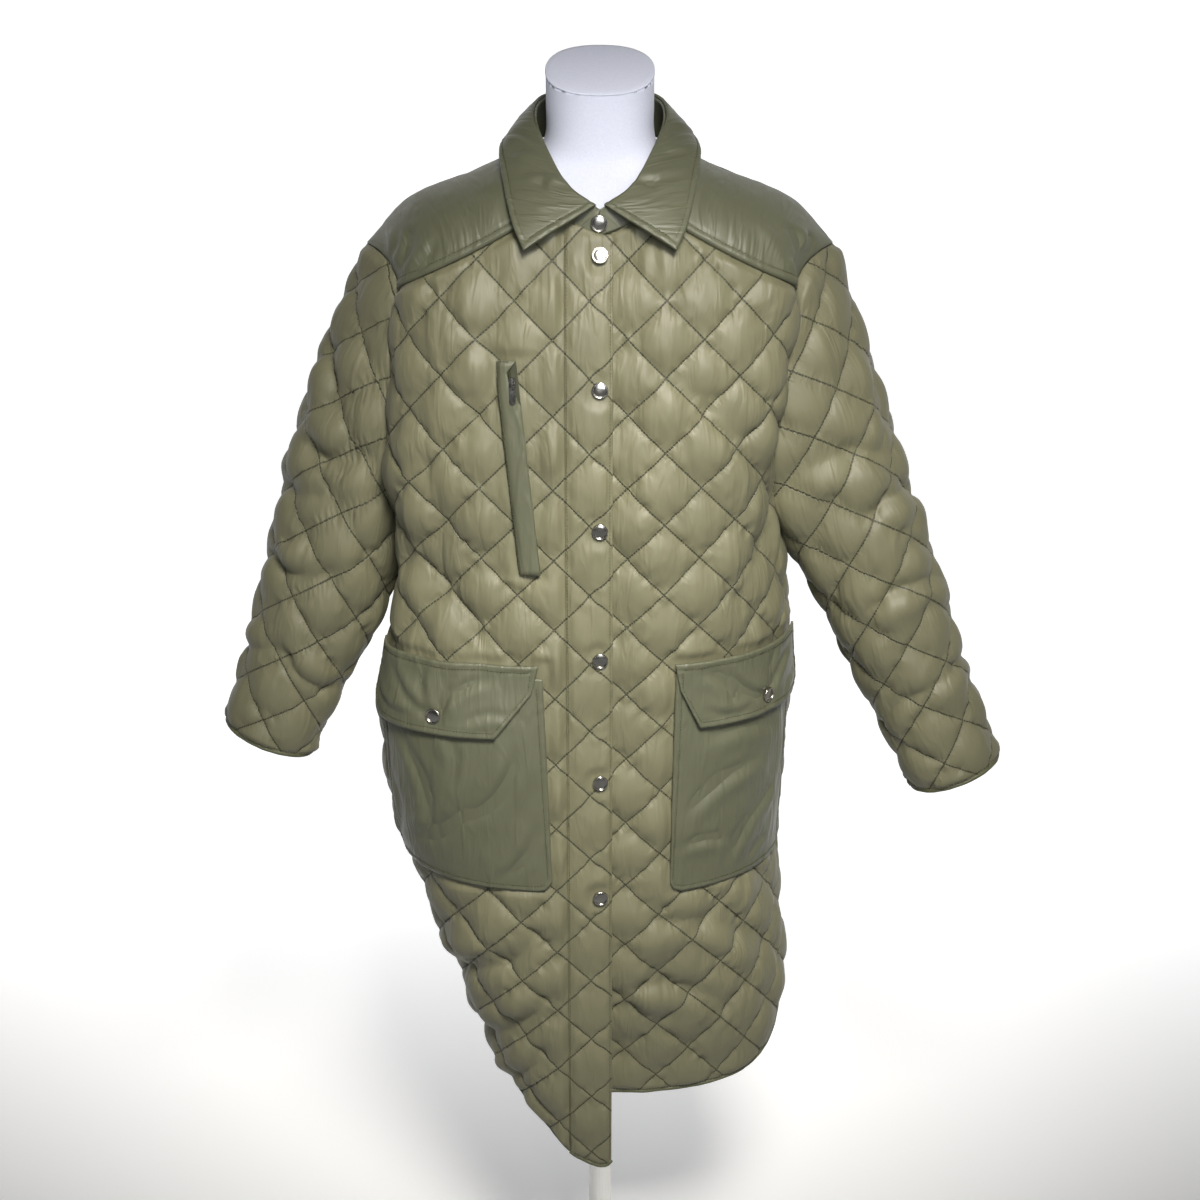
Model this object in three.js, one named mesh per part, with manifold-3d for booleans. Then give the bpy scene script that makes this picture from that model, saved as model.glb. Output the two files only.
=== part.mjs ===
// A long quilted coat on a limbless dress form, in millimetres, +Z up.
// The front faces -Y, the wearer's left is at +X, and the origin is under the middle of the base.
// Cloth heights are measured from a level just under the coat's lowest point, COAT_LIFT above the floor.
import * as THREE from "three";
import { mergeVertices } from "three/addons/utils/BufferGeometryUtils.js";
import Module from "manifold-3d";

const wasm = await Module();
wasm.setup();

// Driving dimensions: cloth
const COAT_LIFT = 300;
const QUILT_DIAGONAL = 78;
const QUILT_CROSSING = { a: -10, z: 1044 };
const QUILT_WALL = 2;
const QUILT_PUFF = 5;
const PLAIN_WALL = 1.6;
const SEAM_GAP = 0.3;
const SECTION_POWER = 2.5;
const TWIST = 0.13;
const TWIST_TOP = 760;
const TWIST_FULL = 560;

// Driving dimensions: fronts
const PLACKET_LEFT = -35;
const PLACKET_RIGHT = 13;
const UNDERLAP = 25;
const UNDERLAP_DROP = 9;
const SIDE_VENT = 285;
const SET_BACK = 34;
const SET_BACK_TOP = 340;
const UNDERARM = 765;
const YOKE_CORNER = 1042;
const BACK_YOKE = { centre: 1012, side: 1030 };

// Driving dimensions: fastenings
const SNAP_RADIUS = 8.5;
const SNAP_HEIGHT = 3;
const SNAP_HEIGHTS = [1087, 955, 805, 659, 514, 372];
const NECK_SNAP = { x: -1, z: 1119 };
const FLAP_SNAPS = { left: { a: -178, z: 594 }, right: { a: 196, z: 594 } };

// Driving dimensions: dress form
const BASE_RADIUS = 168;
const BASE_THICK = 10;
const POLE_RADIUS = 14;
const FORM_BOTTOM = 470;
const NECK_RADIUS = 57;

// The body tube, by height: half width on each side, front and back from the axis,
// how far the side edge stands from the side line at the armhole, and the tuck under the sleeve.
const BODY = [
  { z: 0, left: 66, right: 206, front: 158, back: 118, seam: 0, tuck: 0 },
  { z: 110, left: 127, right: 222, front: 158, back: 126, seam: 0, tuck: 0 },
  { z: 200, left: 157, right: 226, front: 158, back: 134, seam: 0, tuck: 0 },
  { z: 280, left: 187, right: 216, front: 158, back: 140, seam: 0, tuck: 0 },
  { z: 368, left: 215, right: 209, front: 158, back: 145, seam: 0, tuck: 0 },
  { z: 447, left: 238, right: 212, front: 158, back: 147, seam: 0, tuck: 0 },
  { z: 568, left: 250, right: 217, front: 158, back: 148, seam: 0, tuck: 0 },
  { z: 642, left: 251, right: 214, front: 158, back: 148, seam: 0, tuck: 20 },
  { z: 700, left: 248, right: 206, front: 158, back: 147, seam: 0, tuck: 38 },
  { z: 765, left: 244, right: 200, front: 158, back: 145, seam: 0, tuck: 46 },
  { z: 820, left: 236, right: 186, front: 158, back: 141, seam: 52, tuck: 10 },
  { z: 870, left: 228, right: 186, front: 157, back: 137, seam: 70, tuck: 0 },
  { z: 928, left: 220, right: 192, front: 154, back: 132, seam: 78, tuck: 0 },
  { z: 985, left: 218, right: 199, front: 149, back: 125, seam: 77, tuck: 0 },
  { z: 1042, left: 210, right: 205, front: 139, back: 113, seam: 70, tuck: 0 },
  { z: 1100, left: 203, right: 200, front: 118, back: 94, seam: 58, tuck: 0 },
  { z: 1150, left: 196, right: 196, front: 98, back: 80, seam: 50, tuck: 0 },
];

// Hem heights along the cloth, from the centre to the side vent
const HEM_LEFT = [
  { a: 0, z: 8 },
  { a: 43, z: 30 },
  { a: 80, z: 64 },
  { a: 120, z: 96 },
  { a: 165, z: 126 },
  { a: 212, z: 164 },
  { a: 255, z: 216 },
  { a: 300, z: 285 },
];
const HEM_RIGHT = [
  { a: -25, z: 82 },
  { a: 60, z: 84 },
  { a: 135, z: 91 },
  { a: 205, z: 106 },
  { a: 245, z: 128 },
  { a: 275, z: 178 },
  { a: 292, z: 238 },
  { a: 300, z: 285 },
];
const HEM_BACK = [
  { a: 0, z: 90 },
  { a: 80, z: 96 },
  { a: 150, z: 124 },
  { a: 205, z: 172 },
  { a: 250, z: 230 },
  { a: 300, z: 285 },
];

// Yoke seam on each front, from the neckline to the armhole, as a share of the seam
const NECKLINE = { a: 36, z: 1119 };
const YOKE_SEAM = [
  { p: 0, a: 62, z: 1125 },
  { p: 0.33, a: 118, z: 1094 },
  { p: 0.67, a: 172, z: 1068 },
  { p: 1, a: 235, z: YOKE_CORNER },
];

// The shoulder ridge from the neck to the sleeve, and the neck edge from there to the centre back
const RIDGE = [
  { p: 0, x: 82, y: 4, z: 1181 },
  { p: 0.33, x: 135, y: 3, z: 1157 },
  { p: 0.67, x: 204, y: 2, z: 1129 },
  { p: 1, x: 251, y: 0, z: 1081 },
];
const BACK_NECK = [
  { p: 0, x: 0, y: 76, z: 1186 },
  { p: 0.5, x: 52, y: 60, z: 1186 },
  { p: 1, x: 82, y: 4, z: 1181 },
];

// Collar lines from the centre front round to the centre back: seam on the neckline, fold, and leaf edge
const COLLAR = [
  { g: 0, seam: [0, -113, 1106], fold: [4, -110, 1135], edge: [76, -141, 1094] },
  { g: 0.2, seam: [38, -105, 1122], fold: [29, -97, 1151], edge: [88, -118, 1119] },
  { g: 0.4, seam: [67, -74, 1146], fold: [49, -64, 1177], edge: [98, -72, 1156] },
  { g: 0.6, seam: [80, -18, 1178], fold: [68, -8, 1214], edge: [102, -14, 1183] },
  { g: 0.8, seam: [64, 47, 1186.5], fold: [56, 45, 1230], edge: [82, 72, 1183] },
  { g: 1, seam: [0, 76, 1188], fold: [0, 71, 1234], edge: [0, 106, 1180] },
];

// Sleeves: a straight axis from the middle of the cuff to the middle of the armhole,
// and by distance up the axis the half widths outwards and inwards and half the depth.
const SLEEVES = {
  left: {
    side: -1,
    cuff: [-386, -6, 508],
    head: [-212, 6, 925],
    rows: [
      { l: -10, out: 55, in: 52, deep: 47 },
      { l: 80, out: 60, in: 53, deep: 50 },
      { l: 148, out: 68, in: 62, deep: 55 },
      { l: 214, out: 75, in: 63, deep: 60 },
      { l: 306, out: 89, in: 62, deep: 68 },
      { l: 434, out: 96, in: 66, deep: 76 },
      { l: 580, out: 93, in: 80, deep: 80 },
    ],
  },
  right: {
    side: 1,
    cuff: [419, -6, 463],
    head: [221, 6, 925],
    rows: [
      { l: -12, out: 55, in: 53, deep: 47 },
      { l: 90, out: 53, in: 58, deep: 50 },
      { l: 160, out: 57, in: 62, deep: 55 },
      { l: 240, out: 64, in: 64, deep: 60 },
      { l: 340, out: 69, in: 66, deep: 67 },
      { l: 470, out: 78, in: 70, deep: 76 },
      { l: 625, out: 82, in: 80, deep: 80 },
    ],
  },
};
const CUFF_AT = -4;
const HEAD_BLEND = 190;
const HEAD_GAP = 1;

// Patch pockets, flaps and chest welt in flat cloth sizes: a from the centre front, z the height
const POCKETS = {
  left: [[-62, 640], [-54, 398], [-70, 384], [-214, 396], [-256, 404], [-256, 640]],
  right: [[82, 640], [79, 384], [92, 372], [214, 372], [262, 372], [262, 640]],
};
const FLAPS = {
  left: [[-66, 655], [-74, 624], [-114, 574], [-252, 574], [-268, 596], [-268, 655]],
  right: [[80, 653], [86, 622], [108, 574], [258, 574], [272, 596], [272, 653]],
};
const POCKET_BASE = QUILT_PUFF + 0.3;
const POCKET_BELLY = 7;
const FLAP_OVER = PLAIN_WALL + 1.3;
const WELT = { top: [-97, 984], bottom: [-74, 757], width: 21, raise: 2.2 };
const ZIP_TAPE_WIDTH = 9;
const ZIP_TAPE_THICK = 1;

// The form under the coat, by height: half width, front, back
const FORM = [
  { z: 470, half: 150, front: 92, back: 92 },
  { z: 520, half: 168, front: 104, back: 108 },
  { z: 620, half: 172, front: 108, back: 114 },
  { z: 760, half: 142, front: 96, back: 92 },
  { z: 820, half: 136, front: 96, back: 90 },
  { z: 930, half: 152, front: 118, back: 98 },
  { z: 1010, half: 166, front: 112, back: 100 },
  { z: 1065, half: 184, front: 90, back: 86 },
  { z: 1100, half: 194, front: 74, back: 74 },
  { z: 1118, half: 190, front: 68, back: 70 },
  { z: 1138, half: 163, front: 64, back: 66 },
  { z: 1158, half: 120, front: 61, back: 62 },
  { z: 1168, half: 84, front: 59, back: 59 },
  { z: 1178, half: 67, front: 57, back: 57 },
  { z: 1196, half: 58, front: 56, back: 56 },
  { z: 1230, half: NECK_RADIUS, front: 55, back: 55 },
];
const NECK_TOP = { front: 1241, back: 1284 };

// Looks
const OLIVE = 0x5f6148;
const OLIVE_PLAIN = 0x5a6350;
const cloth = new THREE.MeshStandardMaterial({ color: OLIVE, roughness: 0.45, metalness: 0 });
const plainCloth = new THREE.MeshStandardMaterial({ color: OLIVE_PLAIN, roughness: 0.4, metalness: 0 });
const nickel = new THREE.MeshStandardMaterial({ color: 0xb9b9b4, roughness: 0.25, metalness: 1 });
const jersey = new THREE.MeshStandardMaterial({ color: 0xe9eaf0, roughness: 0.85, metalness: 0 });
const enamel = new THREE.MeshStandardMaterial({ color: 0xe4e4e2, roughness: 0.35, metalness: 0 });

// Smooth reading of one column of a table whose rows are ordered by the column key
function read(rows, key, column, at) {
  const last = rows.length - 1;
  let i = 0;
  while (i < last - 1 && at > rows[i + 1][key]) i += 1;
  const low = rows[i];
  const high = rows[i + 1];
  const slope = (k) => {
    const before = rows[Math.max(k - 1, 0)];
    const after = rows[Math.min(k + 1, last)];
    return (after[column] - before[column]) / (after[key] - before[key]);
  };
  const span = high[key] - low[key];
  const t = (at - low[key]) / span;
  if (t < 0) return low[column] + slope(i) * (at - low[key]);
  if (t > 1) return high[column] + slope(i + 1) * (at - high[key]);
  const rise = high[column] - low[column];
  const m0 = slope(i) * span;
  const m1 = slope(i + 1) * span;
  return low[column] + t * (m0 + t * (3 * rise - 2 * m0 - m1 + t * (m0 + m1 - 2 * rise)));
}

function ease(from, to, value) {
  const t = Math.min(Math.max((value - from) / (to - from), 0), 1);
  return t * t * (3 - 2 * t);
}

// One point of the body tube: side -1 or 1, face -1 front or 1 back, t from the centre to the side
function sectionPoint(side, face, t, z) {
  const turn = (t * Math.PI) / 2;
  const half = read(BODY, "z", side < 0 ? "left" : "right", z);
  const tuck = side < 0 ? read(BODY, "z", "tuck", z) : 0;
  const across = Math.sin(turn) ** (2 / SECTION_POWER);
  const along = Math.cos(turn) ** (2 / SECTION_POWER);
  const seam = face * Math.max(read(BODY, "z", "seam", z), 0) * (z > UNDERARM ? 1 : 0);
  const centre = face * read(BODY, "z", face < 0 ? "front" : "back", z);
  const x = side * (half * across - Math.max(tuck, 0) * ease(0.62, 1, t));
  const y = seam + (centre - seam) * along;
  const twist = TWIST * (1 - ease(TWIST_FULL, TWIST_TOP, z));
  return new THREE.Vector3(x, y + twist * x, z + COAT_LIFT);
}

// A quarter of the section at one height, with its running length
const SECTION_STEPS = 40;
const quarters = new Map();
function quarter(side, face, z) {
  const key = side + "," + face + "," + z.toFixed(2);
  if (quarters.has(key)) return quarters.get(key);
  const points = [];
  const lengths = [0];
  for (let i = 0; i <= SECTION_STEPS; i += 1) {
    points.push(sectionPoint(side, face, Math.min(i / SECTION_STEPS, 1), z));
    if (i > 0) lengths.push(lengths[i - 1] + points[i].distanceTo(points[i - 1]));
  }
  const made = { points, lengths, total: lengths[SECTION_STEPS] };
  quarters.set(key, made);
  return made;
}

// The body at a signed length a from the centre line and a height z; a grows to the right seen from outside
function bodyPlace(face) {
  return (a, z) => {
    const side = (a < 0 ? -1 : 1) * -face;
    const { points, lengths } = quarter(side, face, z);
    const reach = Math.abs(a);
    let i = 0;
    while (i < SECTION_STEPS - 1 && reach > lengths[i + 1]) i += 1;
    const t = (reach - lengths[i]) / (lengths[i + 1] - lengths[i]);
    return points[i].clone().lerp(points[i + 1], t);
  };
}
const frontPlace = bodyPlace(-1);
const backPlace = bodyPlace(1);
const sideLength = (side, face, z) => quarter(side, face, z).total;

// The right front lies under the placket and, below the last snap, hangs back from it
function underFrontPlace(a, z) {
  const point = frontPlace(a, z);
  point.y += UNDERLAP_DROP * (1 - ease(PLACKET_RIGHT, PLACKET_RIGHT + 45, a));
  point.y += SET_BACK * (1 - ease(70, SET_BACK_TOP, z)) * (1 - ease(40, 230, a));
  return point;
}

// Outward direction of a placed cloth at a point
const PROBE = 3;
function outward(place, a, b) {
  const across = place(a + PROBE, b).sub(place(a - PROBE, b));
  const up = place(a, b + PROBE).sub(place(a, b - PROBE));
  return across.cross(up).normalize();
}

// Solids of the cut-and-join library from plain vertex and triangle lists, and back
function solidFrom(positions, triangles) {
  return new wasm.Manifold(
    new wasm.Mesh({
      numProp: 3,
      vertProperties: new Float32Array(positions),
      triVerts: new Uint32Array(triangles),
    }),
  );
}

function solidOf(geometry) {
  const bare = geometry.clone();
  bare.deleteAttribute("normal");
  bare.deleteAttribute("uv");
  const merged = mergeVertices(bare, 1e-3);
  return solidFrom(merged.attributes.position.array, merged.index.array);
}

function geometryOf(solid) {
  const mesh = solid.getMesh();
  const geometry = new THREE.BufferGeometry();
  const positions = new Float32Array(mesh.numVert * 3);
  for (let i = 0; i < mesh.numVert; i += 1) {
    const from = i * mesh.numProp;
    positions.set(mesh.vertProperties.subarray(from, from + 3), i * 3);
  }
  geometry.setAttribute("position", new THREE.BufferAttribute(positions, 3));
  geometry.setIndex(new THREE.BufferAttribute(new Uint32Array(mesh.triVerts), 1));
  return geometry;
}

function largest(solid) {
  return solid.decompose().sort((one, two) => two.volume() - one.volume())[0];
}

// Flat cloth on a lattice with an even inside, cut to an outline
// A ripple too small to see keeps every lattice point in the cut, so the cloth can bend at each of them.
const HALF = QUILT_DIAGONAL / 2;
const RIPPLE = 0.1;
function flatCloth(outline, wall, puff, grow, step) {
  const as = outline.map((point) => point[0]);
  const bs = outline.map((point) => point[1]);
  const i0 = Math.floor((Math.min(...as) - QUILT_CROSSING.a) / step) - 1;
  const i1 = Math.ceil((Math.max(...as) - QUILT_CROSSING.a) / step) + 1;
  const j0 = Math.floor((Math.min(...bs) - QUILT_CROSSING.z) / step) - 1;
  const j1 = Math.ceil((Math.max(...bs) - QUILT_CROSSING.z) / step) + 1;
  const columns = i1 - i0 + 1;
  const rows = j1 - j0 + 1;
  const positions = [];
  for (const layer of [0, 1]) {
    for (let j = j0; j <= j1; j += 1) {
      for (let i = i0; i <= i1; i += 1) {
        const crossing = (i + j) % 2 === 0;
        const raised = crossing ? 0 : Math.max(puff, RIPPLE);
        const sunk = crossing ? 0 : RIPPLE;
        const depth = layer ? -wall - sunk - grow : raised + grow;
        positions.push(QUILT_CROSSING.a + i * step, QUILT_CROSSING.z + j * step, depth);
      }
    }
  }
  const triangles = [];
  const at = (layer, i, j) => layer * columns * rows + j * columns + i;
  for (let j = 0; j < rows - 1; j += 1) {
    for (let i = 0; i < columns - 1; i += 1) {
      const straight = (i + i0 + j + j0) % 2 === 0;
      for (const layer of [0, 1]) {
        const a = at(layer, i, j);
        const b = at(layer, i + 1, j);
        const c = at(layer, i + 1, j + 1);
        const d = at(layer, i, j + 1);
        const faces = straight ? [a, b, c, a, c, d] : [a, b, d, b, c, d];
        if (layer) faces.reverse();
        triangles.push(...faces);
      }
    }
  }
  const rim = [];
  for (let i = 0; i < columns - 1; i += 1) rim.push([i, 0, i + 1, 0]);
  for (let j = 0; j < rows - 1; j += 1) rim.push([columns - 1, j, columns - 1, j + 1]);
  for (let i = columns - 1; i > 0; i -= 1) rim.push([i, rows - 1, i - 1, rows - 1]);
  for (let j = rows - 1; j > 0; j -= 1) rim.push([0, j, 0, j - 1]);
  for (const [ia, ja, ib, jb] of rim) {
    const a = at(0, ia, ja);
    const b = at(0, ib, jb);
    const c = at(1, ib, jb);
    const d = at(1, ia, ja);
    triangles.push(a, c, b, a, d, c);
  }
  const slab = solidFrom(positions, triangles);
  const shape = new THREE.Shape(outline.map((point) => new THREE.Vector2(...point)));
  const cutter = new THREE.ExtrudeGeometry(shape, { depth: 60, bevelEnabled: false });
  cutter.translate(0, 0, -30);
  return largest(slab.intersect(solidOf(cutter)));
}

// Cloth cut flat, then carried onto its place: base lifts it off the place, grow thickens it for cutting
function clothSolid({ outline, place, wall, puff = 0, base = () => 0, step = HALF }, grow = 0) {
  const mesh = flatCloth(outline, wall, puff, grow, step).getMesh();
  const positions = [];
  for (let i = 0; i < mesh.numVert; i += 1) {
    const [a, b, depth] = mesh.vertProperties.subarray(i * mesh.numProp, i * mesh.numProp + 3);
    const normal = outward(place, a, b);
    const point = place(a, b).addScaledVector(normal, base(a, b) + depth);
    positions.push(point.x, point.y, point.z);
  }
  return solidFrom(positions, mesh.triVerts);
}

// A wall from a grid of outer points, shut at its rim
function gridSolid({ grid, wall }, grow = 0) {
  const rows = grid.length;
  const columns = grid[0].length;
  const pick = (j, i) => {
    const row = grid[Math.min(Math.max(j, 0), rows - 1)];
    return row[Math.min(Math.max(i, 0), columns - 1)];
  };
  const positions = [];
  for (const layer of [0, 1]) {
    for (let j = 0; j < rows; j += 1) {
      for (let i = 0; i < columns; i += 1) {
        const across = pick(j, i + 1).clone().sub(pick(j, i - 1));
        const up = pick(j + 1, i).clone().sub(pick(j - 1, i));
        const normal = across.cross(up).normalize();
        const point = grid[j][i].clone().addScaledVector(normal, layer ? -wall - grow : grow);
        positions.push(point.x, point.y, point.z);
      }
    }
  }
  const at = (layer, j, i) => layer * rows * columns + j * columns + i;
  const triangles = [];
  const quad = (a, b, c, d) => triangles.push(a, b, c, a, c, d);
  for (let j = 0; j < rows - 1; j += 1) {
    for (let i = 0; i < columns - 1; i += 1) {
      quad(at(0, j, i), at(0, j, i + 1), at(0, j + 1, i + 1), at(0, j + 1, i));
      quad(at(1, j, i), at(1, j + 1, i), at(1, j + 1, i + 1), at(1, j, i + 1));
    }
  }
  const lastRow = rows - 1;
  for (let i = 0; i < columns - 1; i += 1) {
    quad(at(0, 0, i), at(1, 0, i), at(1, 0, i + 1), at(0, 0, i + 1));
    quad(at(0, lastRow, i), at(0, lastRow, i + 1), at(1, lastRow, i + 1), at(1, lastRow, i));
  }
  const end = columns - 1;
  for (let j = 0; j < lastRow; j += 1) {
    quad(at(0, j, 0), at(0, j + 1, 0), at(1, j + 1, 0), at(1, j, 0));
    quad(at(0, j, end), at(1, j, end), at(1, j + 1, end), at(0, j + 1, end));
  }
  return solidFrom(positions, triangles);
}

// Outlines of the body panels in flat cloth sizes, anticlockwise with a to the right
const ROW = HALF;
function hemPoints(rows, side, face, from) {
  const end = sideLength(side, face, SIDE_VENT) - SEAM_GAP;
  const stretch = end / rows[rows.length - 1].a;
  const points = [];
  const count = 12;
  for (let i = 0; i <= count; i += 1) {
    const a = from + ((end - from) * i) / count;
    points.push([a, read(rows, "a", "z", a / stretch)]);
  }
  points[count][1] = SIDE_VENT;
  return points;
}

function sidePoints(side, face, top) {
  const points = [];
  const count = Math.round((top - SIDE_VENT) / ROW);
  for (let i = 1; i <= count; i += 1) {
    const z = SIDE_VENT + ((top - SIDE_VENT) * i) / count;
    points.push([sideLength(side, face, z) - SEAM_GAP, z]);
  }
  return points;
}

function yokeSeamFlat(side, p) {
  const end = sideLength(side, -1, YOKE_CORNER);
  const share = read(YOKE_SEAM, "p", "a", p) / YOKE_SEAM[YOKE_SEAM.length - 1].a;
  return [share * end, read(YOKE_SEAM, "p", "z", p)];
}

const YOKE_STEPS = 8;
function frontOutline(side, rows, from) {
  const points = hemPoints(rows, side, -1, from).concat(sidePoints(side, -1, YOKE_CORNER - SEAM_GAP));
  for (let i = YOKE_STEPS - 1; i >= 0; i -= 1) {
    const [a, z] = yokeSeamFlat(side, i / YOKE_STEPS);
    points.push([a, z - SEAM_GAP]);
  }
  points.push([Math.max(from, NECKLINE.a), NECKLINE.z - SEAM_GAP]);
  if (from < 0) points.push([0, 1104], [from, 1104]);
  return side > 0 ? points : points.map(([a, z]) => [-a, z]).reverse();
}

function backOutline() {
  const halfOf = (side) => {
    const points = hemPoints(HEM_BACK, side, 1, 0).concat(sidePoints(side, 1, BACK_YOKE.side - SEAM_GAP));
    return points.map(([a, z]) => [a * -side, z]);
  };
  const rightSeen = halfOf(-1);
  const leftSeen = halfOf(1).reverse();
  leftSeen.pop();
  return rightSeen.concat([[0, BACK_YOKE.centre - SEAM_GAP]], leftSeen);
}

const quilted = { wall: QUILT_WALL, puff: QUILT_PUFF };
const frontLeft = {
  ...quilted,
  outline: frontOutline(-1, HEM_LEFT, -PLACKET_LEFT + SEAM_GAP),
  place: frontPlace,
};
const frontRight = {
  ...quilted,
  outline: frontOutline(1, HEM_RIGHT, -UNDERLAP),
  place: underFrontPlace,
};
const back = { ...quilted, outline: backOutline(), place: backPlace };
const placketHem = read(HEM_LEFT, "a", "z", 0);
const placketHalf = read(HEM_LEFT, "a", "z", -PLACKET_LEFT / 2);
const placketEdge = read(HEM_LEFT, "a", "z", -PLACKET_LEFT);
const placket = {
  ...quilted,
  outline: [
    [PLACKET_LEFT, placketEdge],
    [PLACKET_LEFT / 2, placketHalf],
    [PLACKET_RIGHT - 6, placketHem],
    [PLACKET_RIGHT, placketHem + 6],
    [PLACKET_RIGHT, 1104],
    [0, 1104],
    [PLACKET_LEFT, NECKLINE.z - SEAM_GAP],
  ],
  place: frontPlace,
};

// Yokes: from a seam on the body up and over to the shoulder ridge. YOKE_PULL is the share of the way
// that each end's curve is drawn out, and NECK_SHARE the part of the back yoke's top that lies on the neck.
const YOKE_PULL = 0.36;
const NECK_SHARE = 0.34;
function curvePoint(start, startPull, end, endPull, q) {
  const curve = new THREE.CubicBezierCurve3(
    start,
    start.clone().add(startPull),
    end.clone().add(endPull),
    end,
  );
  return curve.getPoint(q);
}

function ridgePoint(side, p) {
  return new THREE.Vector3(
    side * read(RIDGE, "p", "x", p),
    read(RIDGE, "p", "y", p),
    read(RIDGE, "p", "z", p) + COAT_LIFT,
  );
}

function frontYokePoint(side, p, q) {
  const [a, z] = yokeSeamFlat(side, p);
  const seam = frontPlace(side * a, z + SEAM_GAP);
  const ridge = ridgePoint(side, p);
  ridge.y -= SEAM_GAP;
  const reach = seam.distanceTo(ridge) * YOKE_PULL;
  const rise = new THREE.Vector3(side * 0.1 * p, 0.25, 1).normalize().multiplyScalar(reach);
  const fall = new THREE.Vector3(-side * 0.3 * p, -1, 0.05).normalize().multiplyScalar(reach);
  return curvePoint(seam, rise, ridge, fall, q);
}

function backYokePoint(p, q) {
  const side = p < 0 ? -1 : 1;
  const share = Math.abs(p);
  const onNeck = share < NECK_SHARE;
  const end = sideLength(side, 1, BACK_YOKE.side);
  const z = BACK_YOKE.centre + (BACK_YOKE.side - BACK_YOKE.centre) * share;
  const seam = backPlace(-side * end * share, z + SEAM_GAP);
  const neck = new THREE.Vector3(
    side * read(BACK_NECK, "p", "x", share / NECK_SHARE),
    read(BACK_NECK, "p", "y", share / NECK_SHARE),
    read(BACK_NECK, "p", "z", share / NECK_SHARE) + COAT_LIFT,
  );
  const top = onNeck ? neck : ridgePoint(side, (share - NECK_SHARE) / (1 - NECK_SHARE));
  if (!onNeck) top.y += SEAM_GAP;
  const reach = seam.distanceTo(top) * YOKE_PULL;
  const rise = new THREE.Vector3(0, -0.1, 1).normalize().multiplyScalar(reach);
  const open = Math.min(share / NECK_SHARE, 1);
  const fall = new THREE.Vector3(0, 0.3 + 0.7 * open, -1 + 0.95 * open);
  fall.normalize().multiplyScalar(reach);
  return curvePoint(seam, rise, top, fall, q);
}

const YOKE_ROWS = 6;
function frontYoke(side) {
  const grid = [];
  for (let j = 0; j <= YOKE_ROWS; j += 1) {
    const row = [];
    for (let i = 0; i <= YOKE_STEPS; i += 1) {
      const share = side > 0 ? i / YOKE_STEPS : 1 - i / YOKE_STEPS;
      row.push(frontYokePoint(side, share, j / YOKE_ROWS));
    }
    grid.push(row);
  }
  return { grid, wall: PLAIN_WALL };
}

function backYoke() {
  const count = 24;
  const grid = [];
  for (let j = 0; j <= YOKE_ROWS; j += 1) {
    const row = [];
    for (let i = 0; i <= count; i += 1) row.push(backYokePoint(1 - (2 * i) / count, j / YOKE_ROWS));
    grid.push(row);
  }
  return { grid, wall: PLAIN_WALL };
}

// Sleeves: a flat panel wrapped round the axis, its head drawn onto the armhole
function armholeLoop(side) {
  const points = [];
  const count = 8;
  for (const face of [-1, 1]) {
    const seamTop = face < 0 ? YOKE_CORNER : BACK_YOKE.side;
    for (let i = 0; i <= count; i += 1) {
      const z = UNDERARM + ((seamTop - UNDERARM) * i) / count;
      points.push(sectionPoint(side, face, 1, z + (i ? 0 : 0.01)));
    }
    for (let i = 1; i <= 3; i += 1) {
      const point = face < 0 ? frontYokePoint(side, 1, i / 3) : backYokePoint(side, i / 3);
      points.push(point);
    }
  }
  return points;
}

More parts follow.
